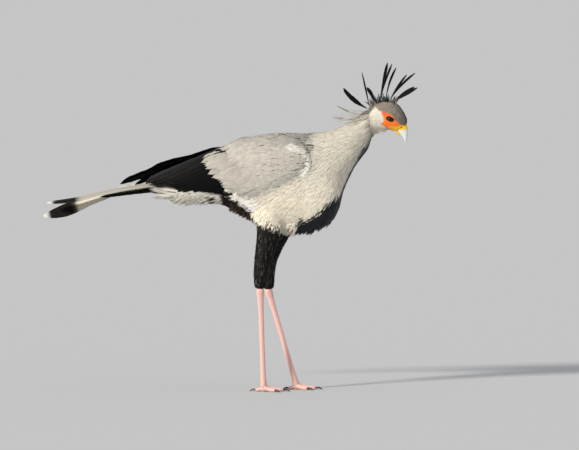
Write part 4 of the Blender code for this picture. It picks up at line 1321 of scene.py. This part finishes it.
def top_of(nodes, x):
    """The highest that nodes reach at each x, in millimetres."""
    heights = []
    for at in x:
        cuts = [cut(node, np.array((1.0, 0, 0)), at * MM) for node in nodes]
        heights.append(max([c[:, 2].max() / MM for c in cuts if len(c)], default=math.nan))
    heights = np.array(heights)
    known = ~np.isnan(heights)
    return np.interp(x, x[known], heights[known])


def make_remiges(side, sign, outline, shape, material):
    """Long black vanes, side by side down the folded wing, the topmost outside."""
    way = np.array(REMEX_WAY) / np.linalg.norm(REMEX_WAY)
    node = f"quills_{side}"
    stations = np.arange(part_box(node)[0].x / MM + 1, REMEX_ROOT_X + 1, 5.0)
    tops = top_of((node, f"wing_{side}"), stations)
    tracks, ups = [], []
    for k, tip in enumerate(spaced(REMEX_TIPS[side], REMIGES)):
        reach = (REMEX_ROOT_X - tip[0]) / way[0]
        share = np.linspace(1, 0, shape.rings)
        x, z = tip[0] + way[0] * reach * share, tip[1] + way[1] * reach * share
        sunk = REMEX_WIDTH * 0.42 + smooth(-60, 0, x) * REMEX_SUNK
        z = np.minimum(z, np.interp(x, stations, tops) - sunk)
        points, out = side_hits(outline, sign, x, z)
        points[:, 1] = np.polyval(np.polyfit(x, points[:, 1], 3), x)
        tucked = 0.8 + smooth(-45, 0, x) * 6.0 + REMEX_LAYER * k
        points[:, 1] -= sign * tucked * MM
        tracks.append(points)
        ups.append(np.tile(unit(out.mean(0) + (0, sign * 1.0, 0)), (shape.rings, 1)))
    at, share = np.array(REMEX_OUTLINE).T
    profile = np.interp(np.linspace(0, 1, shape.rings), at, share)
    width = np.tile(profile * REMEX_WIDTH * MM, (REMIGES, 1))
    # The flight feathers carry a painted highlight along their edges
    make_blade(
        f"flight_feathers_{side}", [], shape, np.array(tracks), np.array(ups), width, 0.6 * MM,
        banded("#050506", (), "#34373c"), material, REMEX_TILT * sign,
    )
    core = copy_of([node], f"folded_primaries_{side}")
    co = places(core.data)
    front = np.array((co[:, 0].max(), co[:, 1].mean(), 0.672))
    place(core.data, front + (co - front) * (0.88, 0.82, 0.86) - (0, sign * 3.0 * MM, 0))
    modify(core, "REMESH", mode="VOXEL", voxel_size=2.5 * MM)
    modify(core, "SMOOTH", factor=0.5, iterations=4)
    core.data.uv_layers.new(name="Vane")
    paint_on(core.data, linear("#070707"))
    core.data.materials.append(material)
    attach(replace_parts(core, node), "root")


# The shorter tail feathers: each one's place across, and where its tip is along x, in millimetres
RECTRICES = (
    (-0.85, -300.0), (0.85, -308.0), (-0.6, -330.0), (0.6, -338.0),
    (-0.3, -362.0), (0.35, -368.0), (-0.05, -389.0),
)
RECTRIX_WIDTH = 24.0


def make_rectrices(shape, material):
    low_corner, high_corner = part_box("tail")
    stations = np.linspace(low_corner.x + 0.001, high_corner.x - 0.001, 30)
    cuts = [cut("tail", np.array((1.0, 0, 0)), x) for x in stations]
    middle = np.array([(c.max(0) + c.min(0)) / 2 for c in cuts])
    half = np.array([(c.max(0) - c.min(0)) / 2 for c in cuts])
    tracks = []
    for across, tip in RECTRICES:
        x = np.linspace(high_corner.x + 0.012, tip * MM, shape.rings)
        y = np.interp(x, stations, middle[:, 1]) + np.interp(x, stations, half[:, 1]) * across * 0.7
        z = np.interp(x, stations, middle[:, 2]) + np.interp(x, stations, half[:, 2]) * (0.7 - abs(across))
        tracks.append(np.stack([x, y, z], axis=1))
    up = np.tile((0.0, -0.42, 0.9), (len(tracks), shape.rings, 1))
    profile = np.interp(np.linspace(0, 1, shape.rings), (0, 0.3, 0.8, 0.93, 1), (0.6, 1, 1, 0.75, 0.15))
    width = np.tile(profile * RECTRIX_WIDTH * MM, (len(tracks), 1))
    # All black: the black tips are the feathers' own, and the rest, grey on the real bird, is painted shade
    paint = banded("#0f0e0e")
    make_blade(
        "tail_feathers", ["tail"], shape, np.array(tracks), up, width, 0.9 * MM, paint, material,
    )


GAZE = (0.25, 0.95, -0.10)
PUPIL = 3.6
IRIS = 7.2
CORNEA = 0.7


def make_eye(side, sign, material):
    """A dark glossy eyeball with its cornea's low bulge, pupil, brown iris and black rim."""
    centre = np.array(EYE_PLACE) * (1, sign, 1)
    gaze = unit(np.array(GAZE) * (1, sign, 1))
    deselect()
    bpy.ops.mesh.primitive_uv_sphere_add(
        segments=64, ring_count=48, radius=EYE_RADIUS * MM,
        rotation=Vector(gaze).to_track_quat("Z", "Y").to_euler(), location=centre * MM,
    )
    eye = bpy.context.object
    eye.name = f"eyeball_{side}"
    bpy.ops.object.transform_apply(location=True, rotation=True, scale=True)
    mesh = eye.data
    ways = unit(places(mesh) / MM - centre)
    off = EYE_RADIUS * np.sqrt(np.maximum(0, 1 - (ways @ gaze) ** 2))
    off = np.where(ways @ gaze < 0, 2 * EYE_RADIUS, off)
    bulge = CORNEA * smooth(IRIS + 0.8, IRIS - 3.5, off)
    place(mesh, places(mesh) + ways * bulge[:, None] * MM)
    mesh.polygons.foreach_set("use_smooth", np.ones(len(mesh.polygons), bool))
    around = ways @ unit(np.cross(gaze, (0, 0, 1.0)))
    iris = linear("#4a2a14") * (0.8 + 0.2 * np.sin(around * 60))[:, None]
    colour = np.tile(linear("#040303"), (len(off), 1))
    ring = smooth(PUPIL - 0.3, PUPIL + 0.3, off) * smooth(IRIS, IRIS - 1.6, off)
    colour = colour + (iris - colour) * ring[:, None]
    paint_on(mesh, colour)
    mesh.materials.append(material)
    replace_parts(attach(eye, "root"), f"eye_{side}")


LASHES = 17
LASH_LENGTH = 10.0


def grow_lashes(ground, side, sign, shape, material):
    """Long stiff black lashes in a row on the upper lid."""
    face = unit(np.array(EYE_FACES) * (1, sign, 1))
    along = np.array(EYE_ALONG) - face * (np.array(EYE_ALONG) @ face)
    along = unit(along)
    up = np.cross(along, face) * sign
    across = np.linspace(-0.97, 0.97, LASHES)
    a, b = across * EYE_OPENING[0] * 1.04, np.sqrt(1 - across**2) * EYE_OPENING[1] * 1.1
    height = np.sqrt(np.maximum((EYE_RADIUS + LID) ** 2 - a**2 - b**2, 4.0)) + 0.2
    middle = np.array(EYE_PLACE) * (1, sign, 1)
    roots = middle + a[:, None] * along + b[:, None] * up + height[:, None] * face
    ways = face * 0.75 + up * 0.45 + along * (across * 0.8 + 0.12)[:, None]
    share = np.linspace(0, 1, shape.rings + 1)[None, :, None]
    length = LASH_LENGTH * (1 - 0.25 * across**2) * random.uniform(0.85, 1.1, LASHES)
    track = roots[:, None] + unit(ways)[:, None] * length[:, None, None] * share
    track = track - up * 4.5 * share**2
    ups = np.tile(up, (LASHES, shape.rings + 1, 1))
    place_feathers(
        ground, f"eyelashes_{side}", shape, track * MM, ups, np.full(LASHES, 0.75 * MM), 0.75 * MM,
        np.tile(linear("#0f0c0b"), (LASHES, 1)), material,
    )


# The bill: the line in the side view above which the soft yellow cere lies, the seam where the bill
# leaves the head, how much the tip is drawn out, and how the lower half is set closer
CERE_LINE = ((500.0, 784.0), (505.0, 783.4), (512.0, 782.3), (524.0, 784.0), (530.0, 786.8), (540.0, 788.0))
BILL_SEAM = ((502.0, 781.0), (531.0, 797.0))
BILL_GROW = 0.25
BILL_TIP = 3.0
LOWER_SET = (1.5, 0.0, 2.0)


def make_bill(material):
    """Horn that hooks down from a soft yellow cere, over a short lower half."""
    seam = np.array(BILL_SEAM)
    run = unit(seam[1] - seam[0])
    for node, name in (("bill_upper", "upper_bill"), ("bill_lower", "lower_bill")):
        bill = copy_of([node], name)
        place(bill.data, places(bill.data) + normals(bill.data) * BILL_GROW * MM)
        modify(bill, "REMESH", mode="VOXEL", voxel_size=0.6 * MM)
        modify(bill, "SMOOTH", factor=0.5, iterations=6)
        mesh = bill.data
        co, out = places(mesh), normals(mesh)
        x, y, z = (co / MM).T
        if node == "bill_upper":
            soft = smooth(-0.7, 0.7, z - np.interp(x, *np.array(CERE_LINE).T))
            from_seam = (x - seam[0, 0]) * run[1] - (z - seam[0, 1]) * run[0]
            back = smooth(4.0, 0.5, from_seam)
            shift = np.outer(back, (-run[1], 0, run[0])) * 2.0
            shift[:, 2] -= BILL_TIP * smooth(772, 748, z)
        else:
            soft = smooth(512, 506, x)
            shift = np.tile(LOWER_SET, (len(co), 1))
        edge = 0.15 * soft
        place(mesh, co + (shift + out * edge[:, None]) * MM)
        mesh.polygons.foreach_set("use_smooth", np.ones(len(mesh.polygons), bool))
        horn = linear("#dde5e2") * (1 - 0.12 * smooth(768, 748, z))[:, None]
        streak = 0.03 * np.sin(x * 2.6 + z * 0.8)
        colour = horn * (1 + streak)[:, None]
        colour = colour + (linear(COLOURS["yellow"]) - colour) * soft[:, None]
        paint_on(mesh, colour)
        mesh.materials.append(material)
        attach(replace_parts(bill, node), "root")


def hex_cells(u, v, pitch):
    """One in the middle of each cell of a honeycomb and nought between the cells."""
    gaps = []
    for shift in (0.0, 0.5):
        across = u / pitch - shift
        down = v / (pitch * math.sqrt(3)) - shift
        gaps.append(np.hypot(across - np.round(across), (down - np.round(down)) * math.sqrt(3)))
    return 1 - smooth(0.34, 0.54, np.minimum(*gaps))


# The scales of a leg, in millimetres: the broad scutes' pitch on shank and toes, the small cells',
# and how far they stand out
SCUTE = 8.5
TOE_SCUTE = 5.5
CELL = 4.2
SCUTE_HIGH = 0.55
CELL_HIGH = 0.35
LEG_VOXEL = 1.0


def make_leg(side, material):
    """A scaled shank and foot in one piece: broad scutes before and behind, small cells between."""
    nodes = [f"shank_{side}", f"foot_{side}"]
    top_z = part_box(nodes[0])[1].z - 4 * MM
    low_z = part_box(nodes[1])[1].z + 3 * MM
    high, low = (cut(nodes[0], np.array((0, 0, 1.0)), z).mean(0) for z in (top_z, low_z))
    leg = copy_of(nodes, f"scaled_leg_{side}")
    place(leg.data, places(leg.data) + normals(leg.data) * 0.4 * MM)
    modify(leg, "REMESH", mode="VOXEL", voxel_size=LEG_VOXEL * MM)
    modify(leg, "SMOOTH", factor=0.5, iterations=5)
    mesh = leg.data
    co, out = places(mesh), normals(mesh)
    co = co - out * 0.3 * MM
    axis = unit(low - high)
    rel = (co - high) / MM
    down = rel @ axis
    fore = unit(np.array((1.0, 0, 0)) - axis * axis[0])
    beside = np.cross(axis, fore)
    angle = np.arctan2(rel @ beside, rel @ fore)
    round_leg = np.hypot(rel @ fore, rel @ beside)
    on_shank = smooth(30, 36, co[:, 2] / MM)
    front = smooth(1.25, 1.0, np.abs(angle)) + smooth(2.1, 2.4, np.abs(angle))
    step = (down / SCUTE + 0.12 * np.cos(angle * 2)) % 1.0
    plate = smooth(0.0, 0.10, step) * (0.55 + 0.45 * step)
    cells = hex_cells(angle * 11.0, down, CELL)
    shank = plate * SCUTE_HIGH * front + cells * CELL_HIGH * (1 - front)
    ankle = np.array((low[0], low[1], 0.0))
    reach = np.linalg.norm((co - ankle)[:, :2], axis=1) / MM
    toe_step = (reach / TOE_SCUTE) % 1.0
    toe = smooth(0.0, 0.14, toe_step) * (0.55 + 0.45 * toe_step) * SCUTE_HIGH
    above = smooth(0.25, 0.6, out[:, 2]) * smooth(20, 28, reach)
    pads = hex_cells(co[:, 0] / MM, co[:, 1] / MM + co[:, 2] / MM, CELL * 0.8) * CELL_HIGH
    foot = toe * above + pads * (1 - above)
    high_mm = shank * on_shank + foot * (1 - on_shank)
    flat = smooth(0.4, 2.0, co[:, 2] / MM)
    place(mesh, co + out * ((high_mm - 0.25) * flat)[:, None] * MM)
    mesh.polygons.foreach_set("use_smooth", np.ones(len(mesh.polygons), bool))
    share = smooth(0.05, 0.40, high_mm)[:, None]
    colour = linear("#bf8c85") + (linear("#e9beb6") - linear("#bf8c85")) * share
    under = smooth(-0.2, -0.7, out[:, 2])[:, None] * (co[:, 2:3] < 20 * MM)
    colour = colour + (linear("#d3a49a") - colour) * under
    wear_and_sheen = 0.06 * np.sin(rel @ fore * 0.9 + down * 0.21) * np.sin(down * 0.13 + angle)
    paint_on(mesh, colour * (1 + wear_and_sheen)[:, None])
    mesh.materials.append(material)
    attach(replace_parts(leg, *nodes), "root")
    return round_leg


def make_claws(side, material):
    """Blunt dark claws, each smoothed from its solid."""
    for toe in ("middle", "inner", "outer", "hind"):
        node = f"claw_{toe}_{side}"
        claw = copy_of([node], f"horn_{node}")
        place(claw.data, places(claw.data) + normals(claw.data) * 0.35 * MM)
        modify(claw, "REMESH", mode="VOXEL", voxel_size=0.6 * MM)
        modify(claw, "SMOOTH", factor=0.5, iterations=6)
        mesh = claw.data
        co = places(mesh)
        co[:, 2] = np.maximum(co[:, 2], 0.02 * MM)
        place(mesh, co)
        mesh.polygons.foreach_set("use_smooth", np.ones(len(mesh.polygons), bool))
        high = smooth(9.0, 2.0, co[:, 2] / MM)[:, None]
        paint_on(mesh, linear("#4a3f38") + (linear("#1f1a17") - linear("#4a3f38")) * high)
        mesh.materials.append(material)
        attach(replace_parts(claw, node), "root")


# The grain is turned out of line with the axes, along which the noise would show as a grid
GRAIN_TURN = (0.7, 0.55, 0.35)


def grain_material(name, roughness, grain, depth, coat=0.0):
    """A painted surface with a fine even grain: skin's pores or the fibres of horn."""
    made, tree, shader = new_material(name)
    paint = add(tree, "ShaderNodeVertexColor", layer_name="Plumage")
    where = add(tree, "ShaderNodeTexCoord")
    turned = add(tree, "ShaderNodeMapping", {"Vector": where.outputs["Object"], "Rotation": GRAIN_TURN})
    noise = add(
        tree, "ShaderNodeTexNoise",
        {"Vector": turned.outputs["Vector"], "Scale": 1 / (grain * MM), "Detail": 3.0, "Roughness": 0.6},
    )
    tone = add(
        tree, "ShaderNodeMapRange",
        {"Value": noise.outputs["Fac"], "From Min": 0.3, "From Max": 0.7, "To Min": 0.9, "To Max": 1.07},
    )
    mixed = add(
        tree, "ShaderNodeVectorMath", {0: paint.outputs["Color"], "Scale": tone.outputs["Result"]},
        operation="SCALE",
    )
    tree.links.new(mixed.outputs["Vector"], shader.inputs["Base Color"])
    shader.inputs["Roughness"].default_value = roughness
    shader.inputs["Coat Weight"].default_value = coat
    shader.inputs["Coat Roughness"].default_value = 0.08
    bump = add(
        tree, "ShaderNodeBump", {"Height": noise.outputs["Fac"], "Strength": 0.6, "Distance": depth * MM}
    )
    tree.links.new(bump.outputs["Normal"], shader.inputs["Normal"])
    return made


def feather_material(name, barb, roughness, sheen, slant, shine=0.25):
    """Keratin vanes: matt and soft, with fine barbs that run out from the shaft, or along it."""
    made, tree, shader = new_material(name)
    paint = add(tree, "ShaderNodeVertexColor", layer_name="Plumage")
    tree.links.new(paint.outputs["Color"], shader.inputs["Base Color"])
    shader.inputs["Roughness"].default_value = roughness
    shader.inputs["Sheen Weight"].default_value = sheen
    shader.inputs["Specular IOR Level"].default_value = shine
    vane = add(tree, "ShaderNodeUVMap", uv_map="Vane")
    split = add(tree, "ShaderNodeSeparateXYZ", {"Vector": vane.outputs["UV"]})
    off = add(tree, "ShaderNodeMath", {0: split.outputs["X"]}, operation="ABSOLUTE")
    across = add(tree, "ShaderNodeMath", {0: off.outputs[0], 1: -BARB_SLANT if slant else 1.0}, operation="MULTIPLY")
    both = add(
        tree, "ShaderNodeMath", {0: split.outputs["Y"], 1: 1.0 if slant else 0.06, 2: across.outputs[0]},
        operation="MULTIPLY_ADD",
    )
    line = add(tree, "ShaderNodeCombineXYZ", {"X": both.outputs[0]})
    wave = add(
        tree, "ShaderNodeTexWave",
        {"Vector": line.outputs[0], "Scale": math.tau / 20 / (barb * MM), "Distortion": 1.5},
    )
    bump = add(
        tree, "ShaderNodeBump", {"Height": wave.outputs["Fac"], "Strength": 0.3, "Distance": 0.15 * MM}
    )
    tree.links.new(bump.outputs["Normal"], shader.inputs["Normal"])
    return made


# Barbs leave the shaft at about 40 degrees; drawn some three times as coarse as real ones, to show
BARB_SLANT = 1.2


def make_shapes():
    strip = feather_shape("strip", STRIP, 3)
    barb = feather_shape("barb", BARB, 3)
    return {
        "slim": feather_shape("slim", SLIM, 3),
        "tiny": feather_shape("tiny", TINY, 3),
        "covert": fan(strip, 5, 0.50, 0.25, 0.22, 0.34),
        "down": fan(barb, 7, 0.30, 0.70, 0.30, 0.15),
        "plume": feather_shape("plume", [(k / 19, 1.0) for k in range(20)], 4),
        "long": feather_shape("long", [(k / 35, 1.0) for k in range(36)], 4),
    }


def bare_faces(skin):
    """Gives the skin's bare faces the second of its materials."""
    mesh = skin.data
    centres = np.empty(len(mesh.polygons) * 3)
    mesh.polygons.foreach_get("center", centres)
    centres = centres.reshape(-1, 3)
    bare = np.maximum(outline_depth(centres, FACE), outline_depth(centres, GAPE)) > -0.3
    mesh.polygons.foreach_set("material_index", bare.astype(int))


camera_and_light()
make_floor()
skin, outline, whose, depth = make_skin()
skin.data.materials.append(grain_material("feathered_skin", 0.75, 1.2, 0.15))
skin.data.materials.append(grain_material("bare_facial_skin", 0.42, 0.9, 0.35))
bare_faces(skin)
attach(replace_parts(skin, *FLESH), "root")
ground = ground_of(skin, outline, whose, depth)
shapes = make_shapes()
pale = feather_material("contour_feather_keratin", 0.8, 0.8, 0.15, False)
black = feather_material("black_feather_keratin", 0.8, 0.6, 0.0, False, 0.15)
vanes = feather_material("flight_feather_keratin", 2.0, 0.5, 0.0, True, 0.07)
horn = grain_material("bill_horn_keratin", 0.30, 1.4, 0.08, 0.3)
claw_horn = grain_material("claw_keratin", 0.35, 1.0, 0.10, 0.2)
scales = grain_material("leg_scale_keratin", 0.48, 0.8, 0.12)
wet = grain_material("wet_cornea", 0.06, 1.0, 0.0, 0.7)
wet.node_tree.nodes["Principled BSDF"].inputs["Specular IOR Level"].default_value = 0.1
wet.node_tree.nodes["Principled BSDF"].inputs["Coat IOR"].default_value = 1.34
grow_coats(ground, shapes, pale, black)
for fringe in FRINGES:
    grow_fringe(ground, fringe, shapes[fringe.shape], black if fringe.slot == "plumage_black" else pale)
make_crest(shapes["plume"], vanes)
grow_crest_bases(ground, shapes["slim"], black)
grow_nape(ground, shapes["slim"], pale)
make_streamers(shapes["long"], vanes)
make_rectrices(shapes["long"], vanes)
make_bill(horn)
for side, sign in SIDES.items():
    grow_greater_coverts(ground, side, sign, shapes["covert"], pale)
    make_remiges(side, sign, outline, shapes["long"], vanes)
    make_eye(side, sign, wet)
    grow_lashes(ground, side, sign, shapes["slim"], black)
    make_leg(side, scales)
    make_claws(side, claw_horn)
